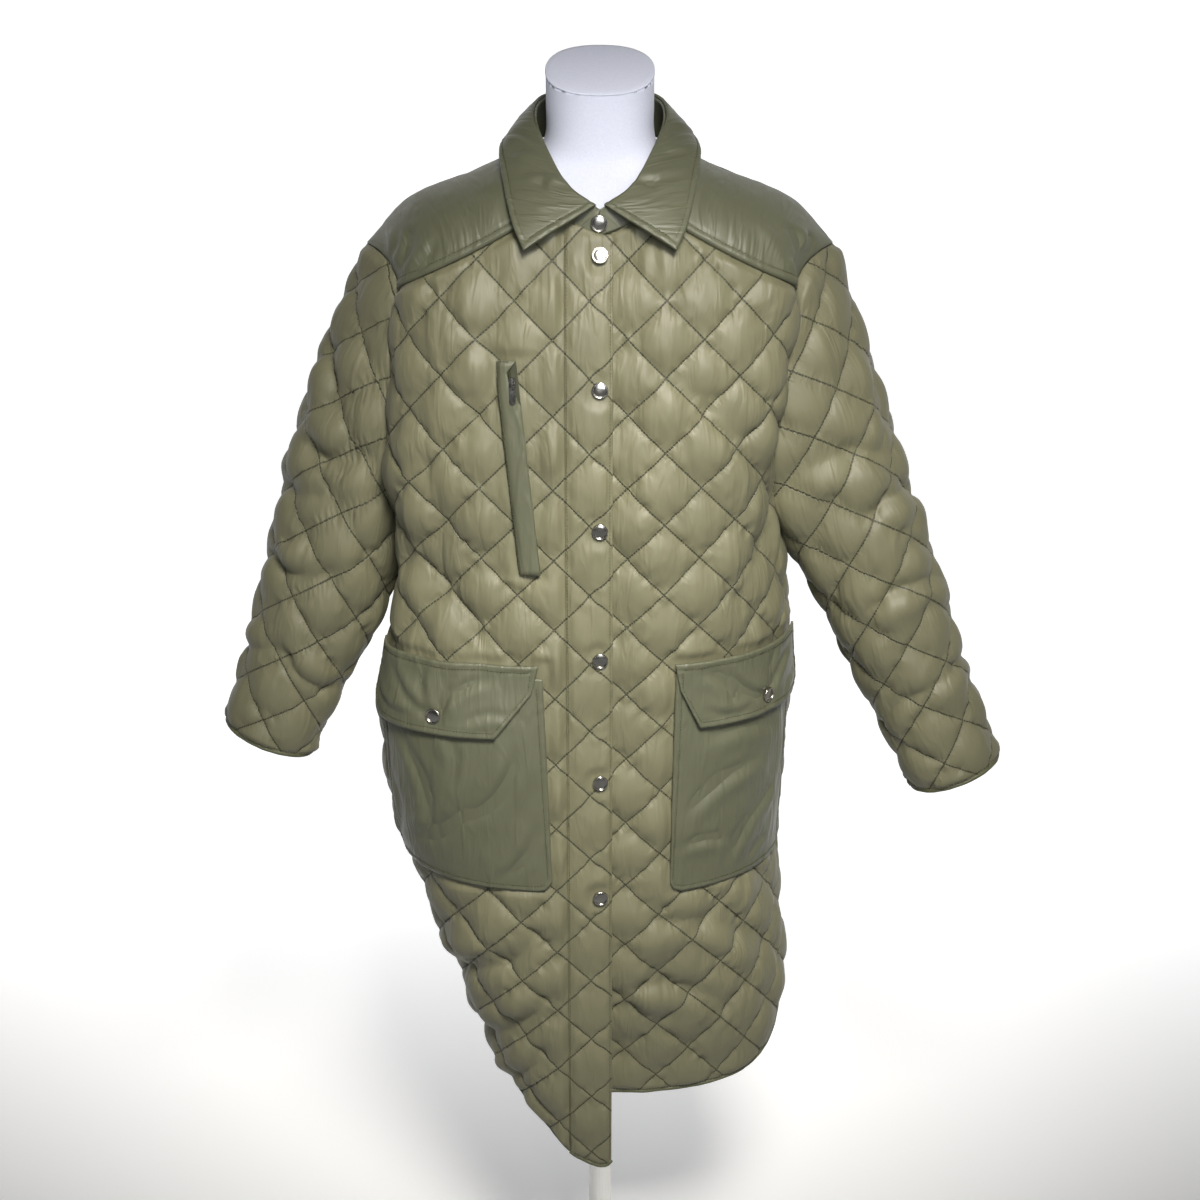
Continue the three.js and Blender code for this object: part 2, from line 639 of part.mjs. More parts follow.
function sleevePlace(name) {
  const { side, cuff, head, rows } = SLEEVES[name];
  const start = new THREE.Vector3(...cuff);
  start.z += COAT_LIFT;
  const end = new THREE.Vector3(...head);
  end.z += COAT_LIFT;
  const axis = end.clone().sub(start).normalize();
  const forward = new THREE.Vector3(0, -1, 0);
  const out = forward.clone().cross(axis).multiplyScalar(-side).normalize();
  const turnWay = axis.clone().cross(out);
  const sizes = (l) => ({
    out: read(rows, "l", "out", l),
    in: read(rows, "l", "in", l),
    deep: read(rows, "l", "deep", l),
  });
  const ringPoint = (turn, l) => {
    const size = sizes(l);
    const wide = Math.cos(turn) > 0 ? size.out : size.in;
    return start
      .clone()
      .addScaledVector(axis, l)
      .addScaledVector(out, wide * Math.cos(turn))
      .addScaledVector(turnWay, size.deep * Math.sin(turn));
  };
  const rings = new Map();
  const ring = (l) => {
    const key = l.toFixed(2);
    if (!rings.has(key)) {
      const lengths = [0];
      for (let i = 1; i <= SECTION_STEPS; i += 1) {
        const from = ringPoint(((i - 1) / SECTION_STEPS) * Math.PI, l);
        lengths.push(lengths[i - 1] + from.distanceTo(ringPoint((i / SECTION_STEPS) * Math.PI, l)));
      }
      rings.set(key, lengths);
    }
    return rings.get(key);
  };
  const turnOf = (a, l) => {
    const lengths = ring(l);
    const reach = Math.abs(a);
    let i = 0;
    while (i < SECTION_STEPS - 1 && reach > lengths[i + 1]) i += 1;
    const t = (reach - lengths[i]) / (lengths[i + 1] - lengths[i]);
    return (Math.sign(a) * (i + t) * Math.PI) / SECTION_STEPS;
  };
  const lengthOf = (turn, l) => {
    const lengths = ring(l);
    const at = (Math.abs(turn) / Math.PI) * SECTION_STEPS;
    const i = Math.min(Math.floor(at), SECTION_STEPS - 1);
    return Math.sign(turn) * (lengths[i] + (lengths[i + 1] - lengths[i]) * (at - i));
  };
  const caps = armholeLoop(side).map((point) => {
    const from = point.clone().sub(start);
    const l = from.dot(axis);
    const size = sizes(l);
    const u = from.dot(out);
    const v = from.dot(turnWay);
    const turn = Math.atan2(v / size.deep, u / (u > 0 ? size.out : size.in));
    return { turn, l, pull: point.clone().sub(ringPoint(turn, l)) };
  });
  caps.sort((one, two) => one.turn - two.turn);
  const first = caps[0];
  const last = caps[caps.length - 1];
  const around = [
    { ...last, turn: last.turn - 2 * Math.PI },
    ...caps,
    { ...first, turn: first.turn + 2 * Math.PI },
  ];
  const cap = (turn) => {
    let i = 0;
    while (i < around.length - 2 && turn > around[i + 1].turn) i += 1;
    const t = (turn - around[i].turn) / Math.max(around[i + 1].turn - around[i].turn, 1e-6);
    return {
      l: around[i].l + (around[i + 1].l - around[i].l) * t,
      pull: around[i].pull.clone().lerp(around[i + 1].pull, t),
    };
  };
  const place = (a, l) => {
    const turn = turnOf(a, l);
    const { l: capAt, pull } = cap(turn);
    return ringPoint(turn, l).addScaledVector(pull, ease(capAt - HEAD_BLEND, capAt, l));
  };
  return { place, cap, lengthOf, ring };
}

function sleeve(name) {
  const made = sleevePlace(name);
  const half = (l) => made.ring(l)[SECTION_STEPS] - SEAM_GAP;
  const seamTop = made.cap(Math.PI - 0.01).l;
  const points = [];
  const count = 12;
  for (let i = 0; i <= count; i += 1) {
    const turn = Math.PI * (-1 + (2 * i) / count);
    const l = CUFF_AT;
    points.push([(half(l) * turn) / Math.PI, l]);
  }
  for (let i = 1; i < 8; i += 1) {
    const l = CUFF_AT + ((seamTop - CUFF_AT) * i) / 8;
    points.push([half(l), l]);
  }
  const capCount = 24;
  for (let i = capCount; i >= 0; i -= 1) {
    const turn = (Math.PI - 0.01) * (-1 + (2 * i) / capCount);
    const l = made.cap(turn).l - HEAD_GAP;
    points.push([made.lengthOf(turn, l), l]);
  }
  for (let i = 7; i > 0; i -= 1) {
    const l = CUFF_AT + ((seamTop - CUFF_AT) * i) / 8;
    points.push([-half(l), l]);
  }
  return { ...quilted, outline: points, place: made.place };
}

// Collar: a stand from the neckline to the fold, and a leaf from the fold down to its edge
function collarLine(line, side, g) {
  const pick = (axis) => {
    const rows = COLLAR.map((row) => ({ g: row.g, value: row[line][axis] }));
    return read(rows, "g", "value", g);
  };
  return new THREE.Vector3(side * pick(0), pick(1), pick(2) + COAT_LIFT);
}

const COLLAR_STEPS = 10;
function collarGrid(lowLine, highLine, rows, bulge, ends) {
  const grid = [];
  for (let j = 0; j <= rows; j += 1) {
    const row = [];
    for (let i = -COLLAR_STEPS; i <= COLLAR_STEPS; i += 1) {
      const side = i < 0 ? -1 : 1;
      const g = 1 - (Math.abs(i) / COLLAR_STEPS) * (1 - ends);
      const low = collarLine(lowLine, -side, g);
      const high = collarLine(highLine, -side, g);
      const point = low.lerp(high, j / rows);
      const from = new THREE.Vector3(point.x, point.y + 10, 0).normalize();
      point.addScaledVector(from, bulge * Math.sin((Math.PI * j) / rows));
      row.push(point);
    }
    grid.push(row);
  }
  return grid;
}

const collarStand = {
  grid: collarGrid("seam", "fold", 3, 1, 0.02),
  wall: PLAIN_WALL,
};
const leafGrid = collarGrid("edge", "fold", 4, 4, 0);
const LEAF_LIFT = 2.6;
for (const row of leafGrid) {
  for (const point of row) {
    const from = new THREE.Vector3(point.x, point.y + 10, 0).normalize();
    point.addScaledVector(from, LEAF_LIFT);
    point.z += LEAF_LIFT;
  }
}
const collarLeaf = { grid: leafGrid, wall: PLAIN_WALL };

// Pockets, flaps, welt and zip tape lie on the fronts
const inside = (points, a, z) => {
  const as = points.map((point) => point[0]);
  const zs = points.map((point) => point[1]);
  const u = (a - Math.min(...as)) / (Math.max(...as) - Math.min(...as));
  const v = (z - Math.min(...zs)) / (Math.max(...zs) - Math.min(...zs));
  const clamp = (value) => Math.min(Math.max(value, 0), 1);
  return Math.sin(Math.PI * clamp(u)) * Math.sin(Math.PI * clamp(v));
};
const outlineOf = (points) => {
  const turned = THREE.ShapeUtils.area(points.map((point) => new THREE.Vector2(...point))) < 0;
  return turned ? points.slice().reverse() : points;
};
const pocket = (name, place) => ({
  outline: outlineOf(POCKETS[name]),
  place,
  base: (a, z) => POCKET_BASE + POCKET_BELLY * inside(POCKETS[name], a, z),
});
const flap = (name, place) => ({
  outline: outlineOf(FLAPS[name]),
  place,
  base: (a, z) => POCKET_BASE + FLAP_OVER + POCKET_BELLY * inside(POCKETS[name], a, z),
});
const [weltTop, weltBottom] = [WELT.top, WELT.bottom];
const weltHalf = WELT.width / 2;
const welt = {
  place: frontPlace,
  base: () => QUILT_PUFF + 0.3,
};

const zipAcross = weltHalf - ZIP_TAPE_WIDTH / 2;
const stripBeside = (from, to, low, high) => {
  const at = (share, across) => [
    weltBottom[0] + (weltTop[0] - weltBottom[0]) * share + across,
    weltBottom[1] + (weltTop[1] - weltBottom[1]) * share,
  ];
  return [at(low, from), at(low, to), at(high, to), at(high, from)];
};
const weltBand = { ...welt, outline: stripBeside(-weltHalf, weltHalf - ZIP_TAPE_WIDTH - SEAM_GAP, 0, 1) };
const zipTape = { ...welt, outline: stripBeside(weltHalf - ZIP_TAPE_WIDTH, weltHalf, 0, 1) };

// Height of the quilting above its stitch lines at a flat place
function quiltHeight(a, z) {
  const u = Math.abs((((a - QUILT_CROSSING.a) / HALF) % 2) + 2) % 2;
  const v = Math.abs((((z - QUILT_CROSSING.z) / HALF) % 2) + 2) % 2;
  const fold = (value) => (value > 1 ? 2 - value : value);
  return QUILT_PUFF * Math.abs(fold(u) - fold(v));
}

function highestUnder(a, z, radius) {
  let highest = quiltHeight(a, z);
  for (let i = 0; i < 16; i += 1) {
    const turn = (i / 16) * 2 * Math.PI;
    highest = Math.max(highest, quiltHeight(a + radius * Math.cos(turn), z + radius * Math.sin(turn)));
  }
  return highest;
}

// A frame on the cloth: x to the right, y up the cloth, z outwards
function clothFrame(place, a, z, base) {
  const normal = outward(place, a, z);
  const up = place(a, z + PROBE).sub(place(a, z - PROBE)).normalize();
  const right = up.clone().cross(normal).normalize();
  const trueUp = normal.clone().cross(right);
  const origin = place(a, z).addScaledVector(normal, base);
  return new THREE.Matrix4().makeBasis(right, trueUp, normal).setPosition(origin);
}

// Snap cap: a low dome with a rolled rim
function snapGeometry(radius) {
  const profile = [
    [0, 0],
    [radius, 0],
    [radius, SNAP_HEIGHT * 0.6],
    [radius * 0.8, SNAP_HEIGHT],
    [0, SNAP_HEIGHT],
  ].map(([x, y]) => new THREE.Vector2(x, y));
  return new THREE.LatheGeometry(profile, 14).rotateX(Math.PI / 2);
}

// Zip slider with its bail, and the pull tab that hangs on it
const SLIDER = { width: 8, length: 12, thick: 3, at: 0.905 };
const BAIL = { half: 4.5, width: 2, rise: 7.2, wall: 1.4 };
const TAB = { bar: 1.4, barHeight: 4.5, arm: 1.7, window: 6.4, width: 6.6, length: 22, thick: 1.4 };
function extruded(shape, depth) {
  return new THREE.ExtrudeGeometry(shape, { depth, bevelEnabled: false });
}

function rectangle(x0, y0, x1, y1) {
  const shape = new THREE.Shape();
  shape.moveTo(x0, y0).lineTo(x1, y0).lineTo(x1, y1).lineTo(x0, y1).closePath();
  return shape;
}

function sliderSolid() {
  const half = SLIDER.width / 2;
  const body = new THREE.Shape();
  body.moveTo(-half * 0.6, -SLIDER.length / 2).lineTo(half * 0.6, -SLIDER.length / 2);
  body.lineTo(half, SLIDER.length / 4).lineTo(half * 0.6, SLIDER.length / 2);
  body.lineTo(-half * 0.6, SLIDER.length / 2).lineTo(-half, SLIDER.length / 4).closePath();
  const arch = rectangle(-BAIL.half, SLIDER.thick - 0.5, BAIL.half, BAIL.rise);
  const eyeHalf = BAIL.half - BAIL.wall;
  arch.holes.push(rectangle(-eyeHalf, SLIDER.thick - 0.1, eyeHalf, BAIL.rise - BAIL.wall));
  const turned = new THREE.Matrix4().makeBasis(
    new THREE.Vector3(0, 1, 0),
    new THREE.Vector3(0, 0, 1),
    new THREE.Vector3(1, 0, 0),
  );
  const bridge = extruded(arch, BAIL.width).applyMatrix4(turned).translate(-BAIL.width / 2, 0, 0);
  return solidOf(extruded(body, SLIDER.thick)).add(solidOf(bridge));
}

function tabSolid() {
  const half = TAB.width / 2;
  const plate = new THREE.Shape();
  plate.moveTo(-half, -TAB.length + 2).lineTo(-half + 1.6, -TAB.length).lineTo(half - 1.6, -TAB.length);
  plate.lineTo(half, -TAB.length + 2).lineTo(half, TAB.bar / 2).lineTo(-half, TAB.bar / 2).closePath();
  plate.holes.push(rectangle(-half + TAB.arm, -TAB.window, half - TAB.arm, -TAB.bar / 2));
  return solidOf(extruded(plate, TAB.thick).translate(0, 0, TAB.barHeight - TAB.thick / 2));
}

// Dress form: one smooth body from the hip to the slanted neck top, on a pole and a round base
const FORM_POWER = 2.3;
function formSolid() {
  const levels = [];
  for (let i = 0; i < FORM.length - 1; i += 1) {
    const span = FORM[i + 1].z - FORM[i].z;
    const parts = Math.max(1, Math.round(span / 42));
    for (let k = 0; k < parts; k += 1) levels.push(FORM[i].z + (span * k) / parts);
  }
  levels.push(FORM[FORM.length - 1].z, "top");
  const around = 24;
  const positions = [];
  for (const level of levels) {
    for (let i = 0; i < around; i += 1) {
      const turn = (i / around) * 2 * Math.PI;
      const z = level === "top" ? FORM[FORM.length - 1].z : level;
      const half = read(FORM, "z", "half", z);
      const deep = read(FORM, "z", Math.sin(turn) < 0 ? "front" : "back", z);
      const round = (value) => Math.sign(value) * Math.abs(value) ** (2 / FORM_POWER);
      const y = deep * round(Math.sin(turn));
      const slant = (y + NECK_RADIUS) / (2 * NECK_RADIUS);
      const topZ = NECK_TOP.front + (NECK_TOP.back - NECK_TOP.front) * slant;
      positions.push(half * round(Math.cos(turn)), y, (level === "top" ? topZ : z) + COAT_LIFT);
    }
  }
  const rings = levels.length;
  const bottomAt = rings * around;
  positions.push(0, 0, FORM[0].z + COAT_LIFT);
  positions.push(0, 0, (NECK_TOP.front + NECK_TOP.back) / 2 + COAT_LIFT);
  const triangles = [];
  for (let j = 0; j < rings - 1; j += 1) {
    for (let i = 0; i < around; i += 1) {
      const next = (i + 1) % around;
      const a = j * around + i;
      const b = j * around + next;
      const c = (j + 1) * around + next;
      const d = (j + 1) * around + i;
      triangles.push(a, b, c, a, c, d);
    }
  }
  for (let i = 0; i < around; i += 1) {
    const next = (i + 1) % around;
    triangles.push(bottomAt, next, i);
    triangles.push(bottomAt + 1, (rings - 1) * around + i, (rings - 1) * around + next);
  }
  return solidFrom(positions, triangles);
}

// The assembly: each cloth piece is cleared of the ones already placed by their grown twins
const coat = new THREE.Group();
const placed = [];
function addMesh(name, solid, material) {
  const mesh = new THREE.Mesh(geometryOf(solid), material);
  mesh.name = name;
  coat.add(mesh);
}

function addCloth(name, recipe, material, clearOf = []) {
  const make = recipe.grid ? gridSolid : clothSolid;
  let solid = make(recipe);
  for (const other of clearOf) {
    const twin = placed.find((one) => one.name === other);
    solid = solid.subtract(twin.grown).subtract(twin.kept);
  }
  const kept = largest(solid);
  placed.push({ name, kept, grown: make(recipe, SEAM_GAP) });
  addMesh(name, kept, material);
}

// Plain cloth that lies on a panel: its inside sits at the recipe's base
const lying = (recipe, wall) => ({
  ...recipe,
  wall,
  step: HALF / 2,
  base: (a, z) => recipe.base(a, z) + wall,
});

addMesh("form_torso", formSolid(), jersey);
const pole = new THREE.CylinderGeometry(POLE_RADIUS, POLE_RADIUS, FORM_BOTTOM + COAT_LIFT - BASE_THICK, 20);
pole.rotateX(Math.PI / 2).translate(0, 0, (FORM_BOTTOM + COAT_LIFT + BASE_THICK) / 2);
addMesh("form_pole", solidOf(pole), enamel);
const baseProfile = [
  [0, 0],
  [BASE_RADIUS, 0],
  [BASE_RADIUS, BASE_THICK - 3],
  [BASE_RADIUS - 3, BASE_THICK],
  [0, BASE_THICK],
].map(([x, y]) => new THREE.Vector2(x, y));
addMesh("form_base", solidOf(new THREE.LatheGeometry(baseProfile, 48).rotateX(Math.PI / 2)), enamel);

addCloth("front_left", frontLeft, cloth);
addCloth("placket", placket, cloth, ["front_left"]);
addCloth("front_right", frontRight, cloth, ["front_left", "placket"]);
addCloth("back", back, cloth, ["front_left", "front_right"]);
addCloth("yoke_front_left", frontYoke(-1), plainCloth, ["front_left"]);
addCloth("yoke_front_right", frontYoke(1), plainCloth, ["front_right"]);
addCloth("yoke_back", backYoke(), plainCloth, ["back", "yoke_front_left", "yoke_front_right"]);
const yokes = ["yoke_front_left", "yoke_front_right", "yoke_back"];
addCloth("sleeve_left", sleeve("left"), cloth, ["front_left", "back", "yoke_front_left", "yoke_back"]);
addCloth("sleeve_right", sleeve("right"), cloth, ["front_right", "back", "yoke_front_right", "yoke_back"]);
addCloth("collar_stand", collarStand, plainCloth, ["front_left", "front_right", "placket", ...yokes]);
addCloth("collar_leaf", collarLeaf, plainCloth, [
  "front_left", "front_right", "placket", "collar_stand", ...yokes,
]);
addCloth("pocket_left", lying(pocket("left", frontPlace), PLAIN_WALL), plainCloth);
addCloth("pocket_right", lying(pocket("right", underFrontPlace), PLAIN_WALL), plainCloth);
addCloth("flap_left", lying(flap("left", frontPlace), PLAIN_WALL), plainCloth);
addCloth("flap_right", lying(flap("right", underFrontPlace), PLAIN_WALL), plainCloth);
addCloth("chest_welt", lying(weltBand, WELT.raise), plainCloth);
addCloth("zip_tape", lying(zipTape, ZIP_TAPE_THICK), cloth);

const snapShape = snapGeometry(SNAP_RADIUS);
SNAP_HEIGHTS.forEach((z, i) => {
  const frame = clothFrame(frontPlace, 0, z, highestUnder(0, z, SNAP_RADIUS) + SEAM_GAP);
  addMesh("snap_" + (i + 2), solidOf(snapShape.clone().applyMatrix4(frame)), nickel);
});
const neckFrame = clothFrame(
  (a, z) => new THREE.Vector3(a, collarLine("seam", 1, 0).y + 0.8, z + COAT_LIFT),
  NECK_SNAP.x,
  NECK_SNAP.z,
  SEAM_GAP,
);
addMesh("snap_1", solidOf(snapShape.clone().applyMatrix4(neckFrame)), nickel);
for (const name of ["left", "right"]) {
  const place = name === "left" ? frontPlace : underFrontPlace;
  const { a, z } = FLAP_SNAPS[name];
  const lift = flap(name, place).base(a, z) + PLAIN_WALL + 0.6;
  const frame = clothFrame(place, a, z, lift);
  addMesh("flap_snap_" + name, solidOf(snapShape.clone().applyMatrix4(frame)), nickel);
}

const zipA = weltBottom[0] + (weltTop[0] - weltBottom[0]) * SLIDER.at + zipAcross;
const zipZ = weltBottom[1] + (weltTop[1] - weltBottom[1]) * SLIDER.at;
const zipFrame = clothFrame(frontPlace, zipA, zipZ, welt.base() + ZIP_TAPE_THICK + SEAM_GAP);
addMesh("zip_slider", largest(solidOf(geometryOf(sliderSolid()).applyMatrix4(zipFrame))), nickel);
addMesh("pull_tab", solidOf(geometryOf(tabSolid()).applyMatrix4(zipFrame)), nickel);

export default coat;
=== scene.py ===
# %% [markdown]
# # A long quilted coat on a limbless dress form
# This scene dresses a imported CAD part. The part gives every piece its real size and place. Here each panel
# of cloth is built again as a dense mesh with its padding, creases, seams and stitches, and every finish is
# made from shader nodes. Lengths in the tables are millimetres, and the scene itself is in metres.

# %% Load the frame
import math

import bpy
import numpy as np
from mathutils import Matrix, Vector


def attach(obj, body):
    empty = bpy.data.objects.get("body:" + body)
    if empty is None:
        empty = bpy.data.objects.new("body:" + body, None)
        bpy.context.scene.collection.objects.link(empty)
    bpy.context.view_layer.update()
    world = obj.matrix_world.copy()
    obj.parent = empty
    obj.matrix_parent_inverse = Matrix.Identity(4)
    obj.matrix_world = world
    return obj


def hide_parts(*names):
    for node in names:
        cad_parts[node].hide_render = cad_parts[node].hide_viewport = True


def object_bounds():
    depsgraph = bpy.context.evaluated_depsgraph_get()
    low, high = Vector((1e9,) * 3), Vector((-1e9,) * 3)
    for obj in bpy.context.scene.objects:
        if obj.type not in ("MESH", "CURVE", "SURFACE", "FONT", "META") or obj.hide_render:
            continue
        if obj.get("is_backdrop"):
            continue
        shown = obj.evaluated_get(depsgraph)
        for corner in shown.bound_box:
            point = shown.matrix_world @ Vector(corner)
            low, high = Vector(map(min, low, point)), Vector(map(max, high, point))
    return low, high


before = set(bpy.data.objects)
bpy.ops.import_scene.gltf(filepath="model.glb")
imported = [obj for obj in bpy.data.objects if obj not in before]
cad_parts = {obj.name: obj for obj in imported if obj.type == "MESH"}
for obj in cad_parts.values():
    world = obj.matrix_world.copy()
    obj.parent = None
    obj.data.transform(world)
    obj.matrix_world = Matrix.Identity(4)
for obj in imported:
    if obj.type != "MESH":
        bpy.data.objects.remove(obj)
cad_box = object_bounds()
print("CAD box:", cad_box)

# %% [markdown]
# ## Camera, light and floor
# The coat was photographed from a little above chest height, with the camera tipped down by twenty degrees.
# A large soft lamp high in front gives the nylon its broad soft shine, and leaves the sides and the folds
# under the sleeves dark. A pale floor that curves up behind keeps the background plain, and only its far
# part glows, so that no light comes up under the hem.

# %% Camera
CAMERA_PLACE = (0.0, -2.06, 1.72)
CAMERA_TIP = math.radians(70)
camera_data = bpy.data.cameras.new("camera")
camera_data.lens = 57
camera_data.sensor_width = 36
camera = bpy.data.objects.new("camera", camera_data)
camera.location = CAMERA_PLACE
camera.rotation_euler = (CAMERA_TIP, 0, 0)
bpy.context.scene.collection.objects.link(camera)
bpy.context.scene.camera = camera
print("camera at", CAMERA_PLACE)

# %% Colours and nodes
def linear(code):
    """An sRGB hex colour as the linear colour that a shader wants."""
    values = [int(code[i : i + 2], 16) / 255 for i in (1, 3, 5)]
    return [v / 12.92 if v <= 0.04045 else ((v + 0.055) / 1.055) ** 2.4 for v in values] + [1.0]


def add_node(tree, kind, sockets=None, **settings):
    """Adds a node. A socket, by name or number, takes a value or the output of another node."""
    node = tree.nodes.new(kind)
    for name, value in settings.items():
        setattr(node, name, value)
    for name, value in (sockets or {}).items():
        if isinstance(value, bpy.types.Node):
            value = value.outputs[0]
        if isinstance(value, bpy.types.NodeSocket):
            tree.links.new(value, node.inputs[name])
        else:
            node.inputs[name].default_value = value
    return node


def new_material(name, **shader):
    """A material with its shader's own sockets set, and its tree and shader to build on."""
    material = bpy.data.materials.new(name)
    material.use_nodes = True
    tree = material.node_tree
    principled = tree.nodes["Principled BSDF"]
    for socket, value in shader.items():
        principled.inputs[socket.replace("_", " ")].default_value = value
    return material, tree, principled


print("olive in linear light:", [round(v, 3) for v in linear("#6f6b4a")])

# %% Lamps and floor
def soft_lamp(name, place, aim, size, watts, colour, spread):
    """A square area lamp that looks at a point, with its light kept within a spread in degrees."""
    data = bpy.data.lights.new(name, "AREA")
    data.shape = "SQUARE"
    data.size = size
    data.energy = watts
    data.spread = math.radians(spread)
    data.color = linear(colour)[:3]
    lamp = bpy.data.objects.new(name, data)
    lamp.location = place
    lamp.rotation_euler = (Vector(aim) - Vector(place)).to_track_quat("-Z", "Y").to_euler()
    bpy.context.scene.collection.objects.link(lamp)


soft_lamp("key_lamp", (0.24, -1.5, 2.4), (0.03, -0.12, 0.88), 0.6, 5.4, "#fffaf2", 42)
soft_lamp("front_fill", (0.3, -2.6, 1.9), (0, 0, 1.15), 1.0, 3, "#f6f8ff", 60)
world = bpy.data.worlds.new("studio")
world.use_nodes = True
world.node_tree.nodes["Background"].inputs["Color"].default_value = linear("#eef1f7")
world.node_tree.nodes["Background"].inputs["Strength"].default_value = 0.04
bpy.context.scene.world = world
bpy.context.scene.view_settings.view_transform = "Standard"

paper, paper_tree, paper_shader = new_material("seamless_paper", Roughness=0.9)
paper_shader.inputs["Base Color"].default_value = linear("#e2e2e2")
paper_shader.inputs["Emission Color"].default_value = linear("#ffffff")
spot = add_node(paper_tree, "ShaderNodeNewGeometry")
away = add_node(paper_tree, "ShaderNodeSeparateXYZ", {0: spot.outputs["Position"]})
glow = add_node(paper_tree, "ShaderNodeMapRange", {0: away.outputs[1], 1: 0.0, 2: 1.0, 3: 0.1, 4: 0.8})
paper_tree.links.new(glow.outputs[0], paper_shader.inputs["Emission Strength"])
profile = [(-5.0, 0.0), (2.4, 0.0)]
profile += [(2.4 + 0.9 * math.sin(t), 0.9 - 0.9 * math.cos(t)) for t in np.linspace(0.15, math.pi / 2, 10)]
profile += [(3.3, 4.5)]
backdrop_points = [(x, y, z) for y, z in profile for x in (-6.0, 6.0)]
backdrop_faces = [(2 * i, 2 * i + 1, 2 * i + 3, 2 * i + 2) for i in range(len(profile) - 1)]
backdrop_mesh = bpy.data.meshes.new("backdrop")
backdrop_mesh.from_pydata(backdrop_points, [], backdrop_faces)
backdrop_mesh.materials.append(paper)
for polygon in backdrop_mesh.polygons:
    polygon.use_smooth = True
backdrop = bpy.data.objects.new("backdrop", backdrop_mesh)
bpy.context.scene.collection.objects.link(backdrop)
backdrop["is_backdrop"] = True
print("backdrop of", len(backdrop_faces), "faces")

# %% [markdown]
# ## Cloth tables
# A coat is drawn as flat panels and takes its shape from the body in it. Each panel here is a flat grid of
# places: a is the way across from the centre front, z the height. Tables of the coat's cross-section turn a
# flat place into a place in space, so the quilting can be worked out flat, where its lines are straight.

# %% The coat's cross-sections and edges
MM = 0.001
COAT_LIFT = 300
DIAGONAL = 78
CROSSING_A, CROSSING_Z = -10, 1044
LINE_SPACING = DIAGONAL / math.sqrt(2)
SEAM_GAP = 0.3
PLACKET_LEFT, PLACKET_RIGHT, UNDERLAP = -35, 13, 25
SIDE_VENT, UNDERARM, YOKE_CORNER = 285, 765, 1042
BACK_CENTRE, BACK_SIDE = 1012, 1030

# z, half width left, right, depth front, back, side edge from the side line, tuck under the sleeve
BODY = [
    (0, 66, 206, 158, 118, 0, 0),
    (110, 127, 222, 158, 126, 0, 0),
    (200, 157, 226, 158, 134, 0, 0),
    (280, 187, 216, 158, 140, 0, 0),
    (368, 215, 209, 158, 145, 0, 0),
    (447, 238, 212, 158, 147, 0, 0),
    (568, 250, 217, 158, 148, 0, 0),
    (642, 251, 214, 158, 148, 0, 20),
    (700, 248, 206, 158, 147, 0, 38),
    (765, 244, 200, 158, 145, 0, 46),
    (820, 236, 186, 158, 141, 52, 10),
    (870, 228, 186, 157, 137, 70, 0),
    (928, 220, 192, 154, 132, 78, 0),
    (985, 218, 199, 149, 125, 77, 0),
    (1042, 210, 205, 139, 113, 70, 0),
    (1100, 203, 200, 118, 94, 58, 0),
    (1150, 196, 196, 98, 80, 50, 0),
]
# distance across, height
HEM_LEFT = [(0, 8), (43, 30), (80, 64), (120, 96), (165, 126), (212, 164), (255, 216), (300, 285)]
HEM_RIGHT = [
    (-25, 82), (60, 84), (135, 91), (205, 106), (245, 128), (275, 178), (292, 238), (300, 285),
]
HEM_BACK = [(0, 90), (80, 96), (150, 124), (205, 172), (250, 230), (300, 285)]
YOKE_SEAM = [(0, 62, 1125), (0.33, 118, 1094), (0.67, 172, 1068), (1, 235, 1042)]
RIDGE = [(0, 82, 4, 1181), (0.33, 135, 3, 1157), (0.67, 204, 2, 1129), (1, 251, 0, 1081)]
BACK_NECK = [(0, 0, 76, 1186), (0.5, 52, 60, 1186), (1, 82, 4, 1181)]
NECK_SHARE = 0.34


def smooth_read(rows, at):
    """Every column of a table at the asked places, along smooth curves through its rows."""
    rows = np.asarray(rows, float)
    at = np.atleast_1d(np.asarray(at, float))
    keys, values = rows[:, 0], rows[:, 1:]
    last = len(rows) - 1
    before = np.maximum(np.arange(last + 1) - 1, 0)
    after = np.minimum(np.arange(last + 1) + 1, last)
    slopes = (values[after] - values[before]) / (keys[after] - keys[before])[:, None]
    i = np.clip(np.searchsorted(keys, at) - 1, 0, last - 1)
    span = (keys[i + 1] - keys[i])[:, None]
    t = (at - keys[i])[:, None] / span
    rise = values[i + 1] - values[i]
    m0, m1 = slopes[i] * span, slopes[i + 1] * span
    inner = values[i] + t * (m0 + t * (3 * rise - 2 * m0 - m1 + t * (m0 + m1 - 2 * rise)))
    low = values[i] + slopes[i] * (at - keys[i])[:, None]
    high = values[i + 1] + slopes[i + 1] * (at - keys[i + 1])[:, None]
    return np.where(t < 0, low, np.where(t > 1, high, inner))


def ease(low, high, value):
    """0 before low, 1 after high, and a soft step between them."""
    t = np.clip((np.asarray(value, float) - low) / (high - low), 0, 1)
    return t * t * (3 - 2 * t)


print("half widths at hip height:", smooth_read(BODY, 568)[0, :2])

# %% From a flat place to the body
STEPS = 40


